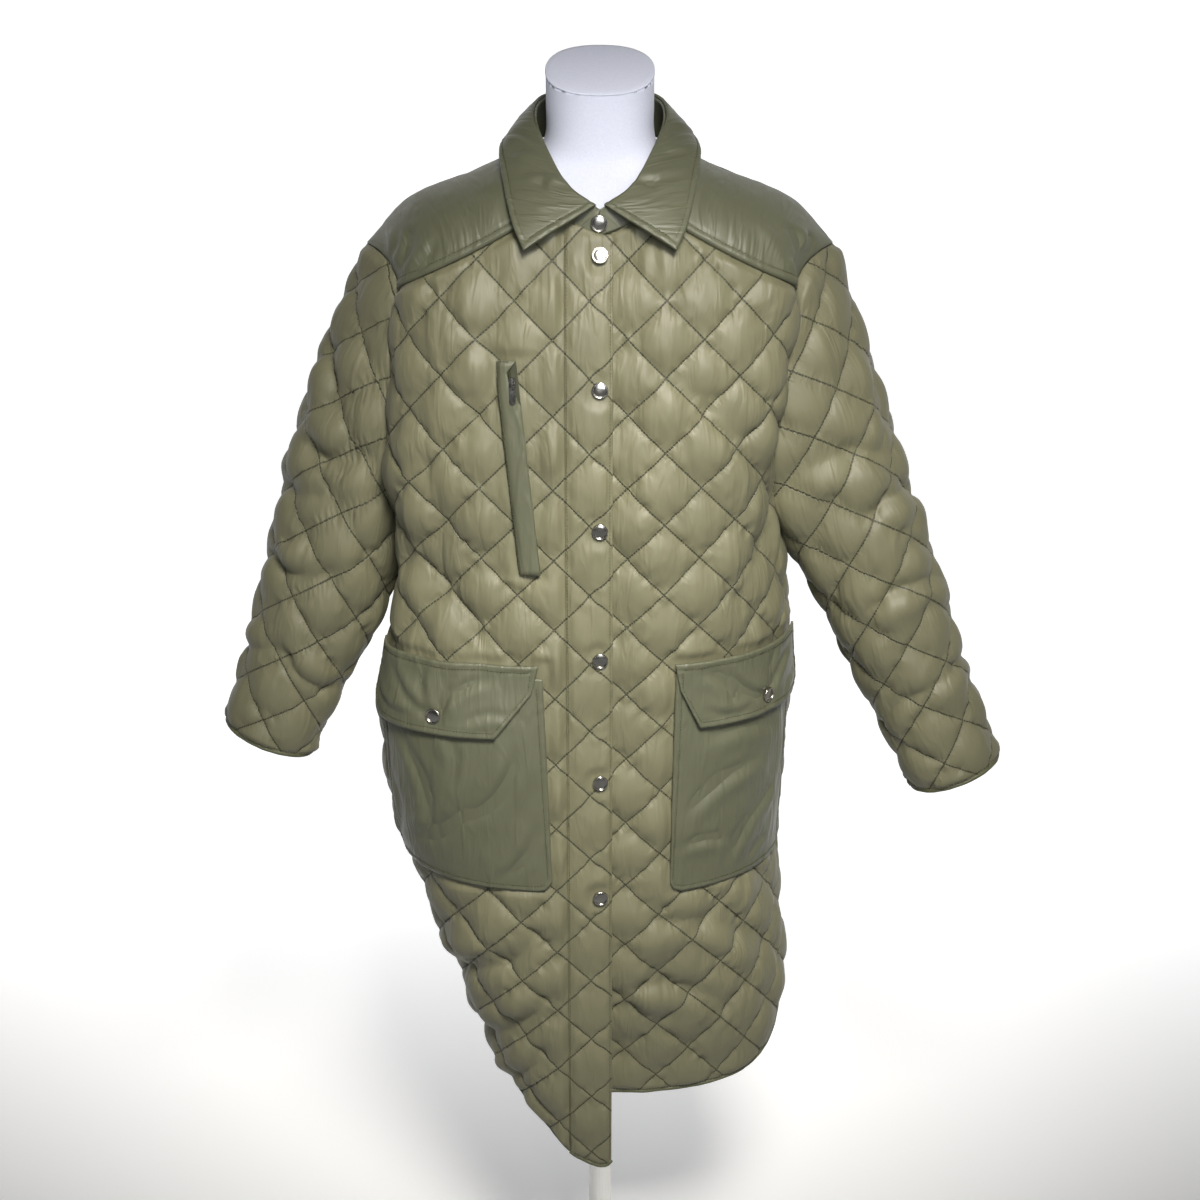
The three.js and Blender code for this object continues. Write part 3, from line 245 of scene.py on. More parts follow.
def body_section(side, face, t, z):
    """Points of the coat's cross-section: t runs from the centre line to the side seam."""
    left, right, front, back, seam, tuck = smooth_read(BODY, z).T[:, :, None]
    side = np.asarray(side, float).reshape(-1, 1)
    half = np.where(side < 0, left, right)
    tuck = np.where(side < 0, np.maximum(tuck, 0), 0)
    z = np.asarray(z, float).reshape(-1, 1)
    across = np.sin(t * math.pi / 2) ** 0.8
    along = np.maximum(np.cos(t * math.pi / 2), 0) ** 0.8
    seam = face * np.maximum(seam, 0) * (z > UNDERARM)
    centre = face * (front if face < 0 else back)
    x = side * (half * across - tuck * ease(0.62, 1, t))
    y = seam + (centre - seam) * along
    twist = 0.13 * (1 - ease(560, 760, z))
    return np.stack([x, y + twist * x, np.broadcast_to(z + COAT_LIFT, x.shape)], -1)


def running_lengths(points):
    """Lengths along each row of points, from its start."""
    steps = np.linalg.norm(np.diff(points, axis=-2), axis=-1)
    return np.concatenate([np.zeros(steps.shape[:-1] + (1,)), np.cumsum(steps, -1)], -1)


def share_at(lengths, reach):
    """How far along each row a length lies, as a share of the row's steps."""
    i = np.clip((lengths[:, 1:-1] < reach[:, None]).sum(1), 0, STEPS - 1)
    rows = np.arange(len(reach))
    low, high = lengths[rows, i], lengths[rows, i + 1]
    return np.clip((i + (reach - low) / (high - low)) / STEPS, 0, 1)


def side_length(side, face, z):
    """Cloth width from the centre line to the side seam at each height."""
    z = np.atleast_1d(np.asarray(z, float))
    ring = body_section(np.full(len(z), side), face, np.linspace(0, 1, STEPS + 1)[None, :], z)
    return running_lengths(ring)[:, -1]


def body_place(face):
    """The place on the coat's front (face -1) or back (face 1) for flat places a, z."""
    def place(a, z):
        a, z = np.broadcast_arrays(np.asarray(a, float), np.asarray(z, float))
        shape = a.shape
        a, z = a.ravel(), z.ravel()
        side = np.where(a < 0, -1, 1) * -face
        ring = body_section(side, face, np.linspace(0, 1, STEPS + 1)[None, :], z)
        t = share_at(running_lengths(ring), np.abs(a))
        return body_section(side, face, t[:, None], z)[:, 0].reshape(shape + (3,))
    return place


front_body, back_place = body_place(-1), body_place(1)
print("cloth from centre front to side at the hip:", side_length(1, -1, 568).round(1), "mm")

# %% [markdown]
# ## Noise and creases
# Nylon shows two kinds of crease. Small ones come from the stitching, which draws the cloth in, and from
# packing. Larger ones hang from where the coat is held or fastened. The small ones are seeded noise, and the
# larger ones are listed as soft troughs with a ridge beside them, each of its own length and depth.

# %% Noise, troughs and drape
NOISE = np.random.default_rng(7).random((256, 256)) * 2 - 1
CREASE_SHOWN = 1.8


def soft_noise(x, y):
    """Smooth noise from -1 to 1 with features one unit across."""
    xi, yi = np.floor(x).astype(int), np.floor(y).astype(int)
    fx, fy = x - xi, y - yi
    fx, fy = fx * fx * (3 - 2 * fx), fy * fy * (3 - 2 * fy)
    at = lambda i, j: NOISE[(yi + j) % 256, (xi + i) % 256]
    low = at(0, 0) * (1 - fx) + at(1, 0) * fx
    high = at(0, 1) * (1 - fx) + at(1, 1) * fx
    return low * (1 - fy) + high * fy


def creased(a, z, creases):
    """Heights of listed creases: (a0, z0, a1, z1, width, depth), each a trough with a ridge beside it."""
    height = np.zeros(np.broadcast(a, z).shape)
    for a0, z0, a1, z1, width, depth in creases:
        length = math.hypot(a1 - a0, z1 - z0)
        ua, uz = (a1 - a0) / length, (z1 - z0) / length
        along = ((a - a0) * ua + (z - z0) * uz) / length
        bow = 0.12 * length * np.sin(np.clip(along, 0, 1) * math.pi)
        off = (a - a0) * uz - (z - z0) * ua + bow * math.copysign(1, depth)
        fade = ease(-0.12, 0.25, along) * (1 - ease(0.6, 1.12, along))
        trough = np.exp(-((off / width) ** 2)) - 0.7 * np.exp(-(((off - 1.7 * width) / (1.2 * width)) ** 2))
        height -= CREASE_SHOWN * abs(depth) * trough * fade
    return height


print("noise spread:", NOISE.std().round(3))

# %% [markdown]
# ## Panels as meshes
# A panel lies between four edges, so a grid can be stretched between them: each inside place is blended from
# the places across from it on the four edges. That keeps the rows of the mesh along the hem and the seams,
# as a cutter would mark them. The grid gets an outer face, a plain inner face and a thin edge all round.

# %% Panel grids
def spaced(points, count):
    """A line of points cut again into count even steps."""
    points = np.asarray(points, float)
    lengths = running_lengths(points)
    at = np.linspace(0, lengths[-1], count + 1)
    return np.stack([np.interp(at, lengths, points[:, i]) for i in range(points.shape[1])], -1)


def stretched_grid(bottom, top, left, right, pitch):
    """Flat places between four edges, about a pitch apart. Bottom and top run right, left and right run up."""
    length = lambda line: running_lengths(np.asarray(line, float))[-1]
    across = max(int(max(length(bottom), length(top)) / pitch), 2)
    up = max(int(max(length(left), length(right)) / pitch), 2)
    bottom, top = spaced(bottom, across), spaced(top, across)
    left, right = spaced(left, up), spaced(right, up)
    u = np.linspace(0, 1, across + 1)[None, :, None]
    v = np.linspace(0, 1, up + 1)[:, None, None]
    between = (1 - v) * bottom[None] + v * top[None] + (1 - u) * left[:, None] + u * right[:, None]
    corners = (1 - u) * (1 - v) * bottom[0] + u * (1 - v) * bottom[-1] + (1 - u) * v * top[0] + u * v * top[-1]
    return between - corners


def from_edges(flat):
    """Distances over the cloth of every grid place from the left, right, bottom and top edges."""
    across = running_lengths(flat)
    up = running_lengths(np.swapaxes(flat, 0, 1)).T
    return across, across[:, -1:] - across, up, up[-1:] - up


def outward(points):
    """Unit directions out of a grid of points whose columns run right and rows run up."""
    normal = np.cross(np.gradient(points, axis=1), np.gradient(points, axis=0))
    return normal / np.maximum(np.linalg.norm(normal, axis=-1, keepdims=True), 1e-9)


def flat_area(flat):
    """Area of a flat grid, in square metres."""
    d1, d2 = flat[1:, 1:] - flat[:-1, :-1], flat[1:, :-1] - flat[:-1, 1:]
    return abs(np.abs(d1[..., 0] * d2[..., 1] - d1[..., 1] * d2[..., 0]).sum() / 2) * MM * MM


def mesh_piece(name, points, faces, materials, uv=None, sharp=0, slots=None):
    """A mesh object from points in mm. The last sharp faces are flat shaded, the others smooth."""
    mesh = bpy.data.meshes.new(name)
    mesh.from_pydata((np.asarray(points).reshape(-1, 3) * MM).tolist(), [], faces if isinstance(faces, list) else faces.tolist())
    for material in materials:
        mesh.materials.append(material)
    smooth = np.ones(len(mesh.polygons), bool)
    if sharp:
        smooth[-sharp:] = False
    mesh.polygons.foreach_set("use_smooth", smooth)
    if slots is not None:
        mesh.polygons.foreach_set("material_index", np.asarray(slots, np.int32))
    if uv is not None:
        corner = np.zeros(len(mesh.loops), np.int32)
        mesh.loops.foreach_get("vertex_index", corner)
        layer = mesh.uv_layers.new(name="cloth")
        layer.data.foreach_set("uv", (np.asarray(uv).reshape(-1, 2)[corner] * MM).astype(np.float32).ravel())
    mesh.update()
    made = bpy.data.objects.new(name, mesh)
    bpy.context.scene.collection.objects.link(made)
    return made


def panel(name, flat, points, depth, wall, material):
    """A closed panel: outer face raised by depth from the points, plain inner face a wall behind them."""
    rows, columns = flat.shape[:2]
    normal = outward(points)
    outer = points + normal * np.broadcast_to(depth, flat.shape[:2])[..., None]
    inner = points - normal * wall
    at = np.arange(rows * columns).reshape(rows, columns)
    under = at + rows * columns
    quad = lambda a, b, c, d: np.stack([a, b, c, d], -1).reshape(-1, 4)
    faces = [
        quad(at[:-1, :-1], at[:-1, 1:], at[1:, 1:], at[1:, :-1]),
        quad(under[:-1, :-1], under[1:, :-1], under[1:, 1:], under[:-1, 1:]),
        quad(at[0, :-1], under[0, :-1], under[0, 1:], at[0, 1:]),
        quad(at[-1, :-1], at[-1, 1:], under[-1, 1:], under[-1, :-1]),
        quad(at[:-1, 0], at[1:, 0], under[1:, 0], under[:-1, 0]),
        quad(at[:-1, -1], under[:-1, -1], under[1:, -1], at[1:, -1]),
    ]
    rim = sum(len(group) for group in faces[2:])
    made = mesh_piece(
        name, np.concatenate([outer.reshape(-1, 3), inner.reshape(-1, 3)]), np.concatenate(faces),
        [material], np.concatenate([flat.reshape(-1, 2)] * 2), sharp=rim,
    )
    PANELS[name] = {"flat": flat, "outer": outer, "normal": normal, "inner": inner}
    print(f"{name}: {2 * sum(len(group) for group in faces)} triangles, {flat_area(flat):.3f} m2 of cloth")
    return made


PANELS = {}


def hang(made, body, slot, *nodes, held="hung", rests_on=("form_torso",)):
    """Puts a panel on its body, in place of CAD nodes."""
    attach(made, body)
    if nodes:
        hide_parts(*nodes)


print("quilting lines are", round(LINE_SPACING, 1), "mm apart")

# %% [markdown]
# ## Quilted cloth
# Two layers of nylon with wadding between them are sewn together in straight lines both ways, 55 mm apart.
# Each diamond swells like a small cushion, steeply beside the stitches and nearly level in the middle. The
# thread draws the cloth in, so short puckers stand across each line. A fine grid of real height shows this
# better than a bump alone, and simulating over a thousand diamonds would take too long for what it adds.

# %% Quilting as heights
PUFF_SHOWN = 8.4
SNAP_HEIGHTS = [1087, 955, 805, 659, 514, 372]


def snapped(a, z):
    """1 on free cloth, and less round each snap on the centre line, where its post pinches the padding."""
    free = np.ones(np.broadcast(a, z).shape)
    for height in SNAP_HEIGHTS:
        free = np.minimum(free, 0.12 + 0.88 * ease(8, 24, np.hypot(a, z - height)))
    return free


def quilt_depth(a, z, edge, swell=1.0):
    """Height of the quilted face above its stitch lines."""
    p = (a - CROSSING_A + z - CROSSING_Z) / DIAGONAL
    q = (a - CROSSING_A - z + CROSSING_Z) / DIAGONAL
    near_p, near_q = np.abs(p - np.round(p)) * 2, np.abs(q - np.round(q)) * 2
    pillow = ((1 - (1 - near_p) ** 2) * (1 - (1 - near_q) ** 2)) ** 0.55
    pull_p = soft_noise(q * LINE_SPACING / 8 + 31 * np.round(p), near_p * 1.6) * np.exp(-near_p / 0.32)
    pull_q = soft_noise(p * LINE_SPACING / 8 + 53 * np.round(q), near_q * 1.6 + 90) * np.exp(-near_q / 0.32)
    wander = 8 * soft_noise(a / 60, z / 60)
    hanging = soft_noise((a + wander) / 10, z / 60 + 40) * (0.4 + 0.6 * np.abs(soft_noise(a / 45, z / 45)))
    slack = 1 + 0.25 * soft_noise(p + 5, q + 9)
    depth = PUFF_SHOWN * swell * slack * pillow
    depth = depth + 1.9 * (pull_p + pull_q) * np.minimum(swell, 1) + 2.2 * hanging * pillow
    return depth * ease(0, 11, edge) + 0.2


print("height in the middle of a diamond:", quilt_depth(np.array(29.0), np.array(1044.0), 50.0).round(1), "mm")

# %% [markdown]
# ## Materials
# The cloth is nylon taffeta: a tight plain weave of fine filament yarn, pressed smooth, so light spreads on
# it in a soft satin way. The quilted cloth is a warm olive, and the plain cloth a little greener and greyer.
# The stitches are dark thread dashes set into a fine groove, drawn in the shader along the same lines as the swelling,
# and the groove between the dashes is darkened too, as painted shade.
# The real weave is ten threads to the millimetre, far too fine to show, so a coarse ghost of it is drawn.

# %% Nylon
STITCH_LENGTH = 3.4


def nylon(name, deep, clear, quilting, roughness=0.54):
    """Nylon taffeta between two shades, with stitched quilting lines and painted shade in their grooves if it is the
    padded cloth.
    """
    material, tree, shader = new_material(name, IOR=1.5, Sheen_Weight=0.04, Sheen_Roughness=0.35)
    uv = add_node(tree, "ShaderNodeUVMap", uv_map="cloth")
    xyz = add_node(tree, "ShaderNodeSeparateXYZ", {0: uv})
    fading = add_node(tree, "ShaderNodeTexNoise", {"Vector": uv, "Scale": 9.0, "Detail": 4.0})
    shade = add_node(
        tree, "ShaderNodeMix", {0: fading.outputs[0], 6: linear(deep), 7: linear(clear)}, data_type="RGBA"
    )
    long_way = add_node(tree, "ShaderNodeMapping", {"Vector": uv, "Scale": (70.0, 15.0, 1.0)})
    bends = add_node(tree, "ShaderNodeTexNoise", {"Vector": long_way, "Scale": 1.0, "Detail": 2.0, "Distortion": 0.5})
    off_middle = add_node(tree, "ShaderNodeMath", {0: bends.outputs[0], 1: 0.5}, operation="SUBTRACT")
    ridge = add_node(tree, "ShaderNodeMath", {0: off_middle}, operation="ABSOLUTE")
    crease = add_node(tree, "ShaderNodeMapRange", {0: ridge, 1: 0.0, 2: 0.24, 3: 0.0, 4: 1.0}, interpolation_type="SMOOTHSTEP")
    height = crease
    colour = shade.outputs[2]
    if quilting:
        total = add_node(tree, "ShaderNodeMath", {0: xyz.outputs[0], 1: xyz.outputs[1]}, operation="ADD")
        gap = add_node(tree, "ShaderNodeMath", {0: xyz.outputs[0], 1: xyz.outputs[1]}, operation="SUBTRACT")
        per = 1000 / DIAGONAL
        shift_p, shift_q = -(CROSSING_A + CROSSING_Z) / DIAGONAL, (CROSSING_Z - CROSSING_A) / DIAGONAL
        p = add_node(tree, "ShaderNodeMath", {0: total, 1: per, 2: shift_p}, operation="MULTIPLY_ADD")
        q = add_node(tree, "ShaderNodeMath", {0: gap, 1: per, 2: shift_q}, operation="MULTIPLY_ADD")
        sewn = None
        for line, run in ((p, q), (q, p)):
            near = add_node(tree, "ShaderNodeMath", {0: line, 1: 0.5}, operation="PINGPONG")
            groove = add_node(tree, "ShaderNodeMapRange", {0: near, 1: 0.009, 2: 0.022, 3: 1.0, 4: 0.0}, interpolation_type="SMOOTHSTEP")
            beat = add_node(tree, "ShaderNodeMath", {0: run, 1: LINE_SPACING / STITCH_LENGTH}, operation="MULTIPLY")
            swing = add_node(tree, "ShaderNodeMath", {0: beat, 1: 0.5}, operation="PINGPONG")
            # the dash mask stays at 0.35 between dashes, so the groove is dented there and its colour is darkened as
            # painted shade
            dash = add_node(tree, "ShaderNodeMapRange", {0: swing, 1: 0.08, 2: 0.2, 3: 0.35, 4: 1.0})
            thread = add_node(tree, "ShaderNodeMath", {0: groove, 1: dash}, operation="MULTIPLY")
            number = add_node(tree, "ShaderNodeMath", {0: line}, operation="ROUND")
            place = add_node(tree, "ShaderNodeMath", {0: run, 1: LINE_SPACING / 4.5}, operation="MULTIPLY")
            stand = add_node(tree, "ShaderNodeCombineXYZ", {0: place, 1: near, 2: number})
            pull = add_node(tree, "ShaderNodeTexNoise", {"Vector": stand, "Scale": 1.0, "Detail": 2.0})
            reach = add_node(tree, "ShaderNodeMapRange", {0: near, 1: 0.0, 2: 0.2, 3: 1.6, 4: 0.0}, interpolation_type="SMOOTHSTEP")
            pucker = add_node(tree, "ShaderNodeMath", {0: pull.outputs[0], 1: reach}, operation="MULTIPLY")
            height = add_node(tree, "ShaderNodeMath", {0: height, 1: pucker}, operation="ADD")
            sewn = thread if sewn is None else add_node(tree, "ShaderNodeMath", {0: sewn, 1: thread}, operation="MAXIMUM")
        height = add_node(tree, "ShaderNodeMath", {0: height, 1: sewn}, operation="SUBTRACT")
        # dark thread colour on the dashes, plus painted shade that darkens the whole stitch groove
        thread_and_painted_groove_shade = add_node(tree, "ShaderNodeMath", {0: sewn, 1: 0.85}, operation="MULTIPLY")
        mixed = add_node(tree, "ShaderNodeMix", {0: thread_and_painted_groove_shade, 6: colour, 7: linear("#26281a")}, data_type="RGBA")
        colour = mixed.outputs[2]
    weave = add_node(tree, "ShaderNodeTexWave", {"Vector": uv, "Scale": 380.0, "Distortion": 1.5}, bands_direction="Y")
    grain = add_node(tree, "ShaderNodeMapRange", {0: weave.outputs[1], 3: roughness - 0.05, 4: roughness + 0.07})
    bump = add_node(tree, "ShaderNodeBump", {"Height": height, "Strength": 0.75, "Distance": 0.0009})
    fine = add_node(tree, "ShaderNodeBump", {"Height": weave.outputs[1], "Strength": 0.08, "Distance": 0.0003, "Normal": bump})
    tree.links.new(colour, shader.inputs["Base Color"])
    tree.links.new(grain.outputs[0], shader.inputs["Roughness"])
    tree.links.new(fine.outputs[0], shader.inputs["Normal"])
    return material


quilted_nylon = nylon("quilted_nylon_taffeta", "#605f4a", "#77755b", True)
plain_nylon = nylon("plain_nylon_taffeta", "#50523f", "#5f614e", False, 0.48)
edge_nylon = nylon("nylon_binding_tape", "#4c4f37", "#5a5c41", False, 0.5)
print("three nylon finishes")

# %% Thread, tape, metal, jersey and enamel
def grained(name, colours, scale, bump_mm, kind="ShaderNodeTexNoise", roughness=(0.5, 0.6), **shader):
    """A finish with a fine grain of its own in colour, roughness and height, at a scale per metre."""
    material, tree, principled = new_material(name, **shader)
    place = add_node(tree, "ShaderNodeTexCoord").outputs["Object"]
    grain = add_node(tree, kind, {"Vector": place, "Scale": scale})
    value = grain.outputs[1] if kind == "ShaderNodeTexWave" else grain.outputs[0]
    mix = add_node(tree, "ShaderNodeMix", {0: value, 6: linear(colours[0]), 7: linear(colours[1])}, data_type="RGBA")
    rough = add_node(tree, "ShaderNodeMapRange", {0: value, 3: roughness[0], 4: roughness[1]})
    bump = add_node(tree, "ShaderNodeBump", {"Height": value, "Strength": 0.6, "Distance": bump_mm * MM})
    tree.links.new(mix.outputs[2], principled.inputs["Base Color"])
    tree.links.new(rough.outputs[0], principled.inputs["Roughness"])
    tree.links.new(bump.outputs[0], principled.inputs["Normal"])
    return material


# twisted polyester thread, a shade darker than the cloth
thread = grained("polyester_thread", ("#33351f", "#45482f"), 900.0, 0.1)
# woven polyester tape, dull and dark beside the nylon
tape = grained("woven_zip_tape", ("#2f3222", "#3d402d"), 420.0, 0.15, "ShaderNodeTexWave", (0.7, 0.85))
# moulded nylon coil of the zip, slightly glossy
coil_nylon = grained("moulded_nylon_coil", ("#34371f", "#444830"), 700.0, 0.05, roughness=(0.35, 0.5))
# polished nickel plate, clouded a little by handling
nickel = grained("polished_nickel_plate", ("#b4b1a8", "#cfccc4"), 160.0, 0.02, roughness=(0.14, 0.3), Metallic=1.0)
# fine cotton jersey over padding, white with a cold cast
jersey = grained("white_cotton_jersey", ("#d3d8ec", "#e2e6f5"), 420.0, 0.25, roughness=(0.8, 0.95), Sheen_Weight=0.15)
# stove enamel with a slight ripple
enamel = grained("stove_enamel", ("#e6e6e3", "#ededea"), 60.0, 0.05, roughness=(0.25, 0.34), Coat_Weight=0.3)
print("materials:", len(bpy.data.materials))

# %% [markdown]
# ## Fronts, placket and back
# The wearer's right front carries the placket and laps over the other one, whose lower half hangs back. Both
# have a curved shirt-tail hem that rises to a vent at each side. The back is one panel down to its own tail.

# %% Edges of the body panels
PRESSED = [(-262, -54, 384, 660), (76, 276, 370, 658), (-112, -60, 752, 990)]
HANGS = [
    (-60, 330, -262, 250, 16, 4.5),
    (-52, 250, -235, 150, 14, 4.5),
    (-60, 175, -190, 85, 12, 4.0),
    (-215, 760, -120, 640, 18, 3.0),
    (-200, 900, -190, 690, 16, 2.6),
    (60, 980, 190, 800, 17, 2.5),
    (205, 930, 150, 700, 18, 3.0),
    (60, 340, 215, 250, 15, 3.0),
    (40, 250, 190, 170, 14, 3.0),
    (-110, 1060, -150, 900, 15, 2.2),
]


def pressed_under(a, z):
    """1 on free cloth, and less where a pocket or the welt is sewn over it."""
    free = np.ones(np.broadcast(a, z).shape)
    for low_a, high_a, low_z, high_z in PRESSED:
        within = ease(low_a - 8, low_a + 4, a) * (1 - ease(high_a - 4, high_a + 8, a))
        within = within * ease(low_z - 8, low_z + 4, z) * (1 - ease(high_z - 4, high_z + 8, z))
        free = free * (1 - 0.5 * within)
    return free


def swung(points, height):
    """Moves points in or out from the coat's middle line."""
    reach = np.maximum(np.hypot(points[..., 0], points[..., 1]), 1)
    moved = points.copy()
    moved[..., :2] *= (1 + height / reach)[..., None]
    return moved


def front_place(a, z):
    """The draped front."""
    a, z = np.broadcast_arrays(np.asarray(a, float), np.asarray(z, float))
    return swung(front_body(a, z), creased(a, z, HANGS))


def under_place(a, z):
    """The draped right front, which lies under the placket and hangs back below the last snap."""
    a, z = np.broadcast_arrays(np.asarray(a, float), np.asarray(z, float))
    points = front_place(a, z).copy()
    points[..., 1] += 9 * (1 - ease(PLACKET_RIGHT, PLACKET_RIGHT + 45, a))
    points[..., 1] += 34 * (1 - ease(70, 340, z)) * (1 - ease(40, 230, a))
    return points


def hem_line(rows, side, face, start):
    """The hem from a distance off the centre to the side vent."""
    end = side_length(side, face, SIDE_VENT)[0] - SEAM_GAP
    a = np.linspace(start, end, 61)
    z = smooth_read(rows, a * rows[-1][0] / end)[:, 0]
    z[-1] = SIDE_VENT
    return np.stack([a, z], -1)


def side_line(side, face, top):
    """The side seam and armhole edge from the vent up."""
    z = np.linspace(SIDE_VENT, top, 81)
    return np.stack([side_length(side, face, z) - SEAM_GAP, z], -1)


def yoke_line(side):
    """The yoke seam from the neckline out to the armhole."""
    end = side_length(side, -1, YOKE_CORNER)[0]
    row = smooth_read(YOKE_SEAM, np.linspace(0, 1, 41))
    return np.stack([row[:, 0] / YOKE_SEAM[-1][1] * (end - SEAM_GAP), row[:, 1] - SEAM_GAP], -1)


def mirrored(line):
    """A line on the other side of the centre, run the other way."""
    return (np.asarray(line, float) * (-1, 1))[::-1]


print("hem of the left front is", running_lengths(hem_line(HEM_LEFT, -1, -1, 35))[-1].round(), "mm long")

# %% Fronts
PITCH = 3.3


def quilted_panel(name, flat, place, wall=2.0, lift=0.0):
    """A quilted panel carried onto its place."""
    a, z = flat[..., 0], flat[..., 1]
    edge = np.minimum.reduce(from_edges(flat))
    swell = pressed_under(a, z) if "front" in name else 1.0
    if name == "placket_quilt":
        swell = 0.62 * snapped(a, z)
    depth = quilt_depth(a, z, edge, swell)
    return panel(name, flat, place(a, z), depth + lift, wall, quilted_nylon)


left_hem = mirrored(hem_line(HEM_LEFT, -1, -1, -PLACKET_LEFT + SEAM_GAP))
left_top = mirrored(np.concatenate([[(36.0, 1122.0)], yoke_line(-1)]))
left_flat = stretched_grid(
    left_hem, left_top, mirrored(side_line(-1, -1, YOKE_CORNER - SEAM_GAP))[::-1],
    [left_hem[-1], left_top[-1]], PITCH,
)
left_front = quilted_panel("front_left_quilt", left_flat, front_place)
right_hem = hem_line(HEM_RIGHT, 1, -1, -UNDERLAP)
right_top = np.concatenate([[(-25.0, 1108.0), (0.0, 1108.0), (36.0, 1122.0)], yoke_line(1)])
right_flat = stretched_grid(
    right_hem, right_top, [right_hem[0], right_top[0]], side_line(1, -1, YOKE_CORNER - SEAM_GAP), PITCH
)
right_front = quilted_panel("front_right_quilt", right_flat, under_place)
hang(left_front, "coat_on_form", "quilted_nylon", "front_left")
hang(right_front, "coat_on_form", "quilted_nylon", "front_right")

# %% Placket
OVERLAP = 1.4
placket_hem = [(-a, smooth_read(HEM_LEFT, a)[0, 0]) for a in (OVERLAP - PLACKET_LEFT, -PLACKET_LEFT / 2, 0)]
placket_hem += [(PLACKET_RIGHT - 6, placket_hem[-1][1]), (PLACKET_RIGHT, placket_hem[-1][1] + 6)]
placket_flat = stretched_grid(
    placket_hem,
    [(PLACKET_LEFT - OVERLAP, 1123), (0, 1108), (PLACKET_RIGHT, 1108)],
    [placket_hem[0], (PLACKET_LEFT - OVERLAP, 1123)],
    [placket_hem[-1], (PLACKET_RIGHT, 1108)],
    min(PITCH, 4.0) * 0.8,
)
placket = quilted_panel("placket_quilt", placket_flat, front_place, lift=0.8)
hang(placket, "coat_on_form", "quilted_nylon", "placket")

# %% Back
def back_line(make):
    """A line made for each side, joined across the centre back."""
    return np.concatenate([mirrored(make(1)), make(-1)[1:]])


back_hem = back_line(lambda side: hem_line(HEM_BACK, side, 1, 0.0))
back_sides = [side_line(side, 1, BACK_SIDE - SEAM_GAP) for side in (1, -1)]
back_top = [mirrored(back_sides[0])[0], (0, BACK_CENTRE - SEAM_GAP), back_sides[1][-1]]
back_flat = stretched_grid(back_hem, back_top, mirrored(back_sides[0])[::-1], back_sides[1], PITCH * 1.25)
BACK_HANGS = [
    (-60, 960, -150, 760, 20, 3.0), (70, 940, 140, 700, 22, 3.2), (-20, 700, 30, 430, 24, 3.0),
    (150, 520, 90, 260, 22, 3.4), (-170, 480, -90, 240, 20, 3.0), (10, 330, -10, 130, 18, 2.6),
]


def draped_back(a, z):
    """The back with the long folds that hang from the shoulder blades."""
    return swung(back_place(a, z), creased(a, z, BACK_HANGS))


back_panel = quilted_panel("back_quilt", back_flat, draped_back)
hang(back_panel, "coat_on_form", "quilted_nylon", "back")

# %% [markdown]
# ## Yokes
# Plain cloth covers the shoulders. It ends on the fronts in a raised lip, where the seam is turned in and
# stitched again nine millimetres above. From the armholes, creases run up the cloth and fade out.

# %% Yoke shapes
def curve(start, out_pull, end, end_pull, q):
    """A cubic curve from start to end at share q, drawn out by a pull at each end."""
    q = q[:, None]
    return (
        (1 - q) ** 3 * start + 3 * q * (1 - q) ** 2 * (start + out_pull)
        + 3 * q**2 * (1 - q) * (end + end_pull) + q**3 * end
    )


def unit(vectors):
    vectors = np.asarray(vectors, float)
    return vectors / np.linalg.norm(vectors, axis=-1, keepdims=True)


def ridge_point(side, p):
    """The shoulder ridge, from the neck to the sleeve."""
    return smooth_read(RIDGE, p) * (side, 1, 1) + (0, 0, COAT_LIFT)


def front_yoke_place(side, p, q):
    """The front yoke: p along the seam from the neck, q up to the ridge."""
    end = side_length(side, -1, YOKE_CORNER)[0]
    row = smooth_read(YOKE_SEAM, p)
    seam = front_place(side * row[:, 0] / YOKE_SEAM[-1][1] * end, row[:, 1] + SEAM_GAP)
    ridge = ridge_point(side, p) - (0, SEAM_GAP, 0)
    reach = 0.36 * np.linalg.norm(seam - ridge, axis=-1, keepdims=True)
    zero, one = np.zeros_like(p), np.ones_like(p)
    rise = unit(np.stack([side * 0.1 * p, zero + 0.25, one], -1)) * reach
    fall = unit(np.stack([-side * 0.3 * p, -one, zero + 0.05], -1)) * reach
    return curve(seam, rise, ridge, fall, q)


def back_yoke_place(p, q):
    """The back yoke: p from -1 to 1 across the back as seen from the front, q up."""
    side, share = np.where(p < 0, -1, 1), np.abs(p)
    end = np.where(side < 0, side_length(-1, 1, BACK_SIDE)[0], side_length(1, 1, BACK_SIDE)[0])
    seam = draped_back(-side * end * share, BACK_CENTRE + (BACK_SIDE - BACK_CENTRE) * share + SEAM_GAP)
    neck = smooth_read(BACK_NECK, share / NECK_SHARE) * np.stack([side, side * side, side * side], -1)
    ridge = smooth_read(RIDGE, (share - NECK_SHARE) / (1 - NECK_SHARE))
    ridge = ridge * np.stack([side, side * side, side * side], -1) + (0, SEAM_GAP, 0)
    top = np.where((share < NECK_SHARE)[:, None], neck, ridge) + (0, 0, COAT_LIFT)
    reach = 0.36 * np.linalg.norm(seam - top, axis=-1, keepdims=True)
    zero, one = np.zeros_like(share), np.ones_like(share)
    rise = unit(np.stack([zero, zero - 0.1, one], -1)) * reach
    open_share = np.minimum(share / NECK_SHARE, 1)
    fall = unit(np.stack([zero, 0.3 + 0.7 * open_share, -1 + 0.95 * open_share], -1)) * reach
    return curve(seam, rise, top, fall, q)


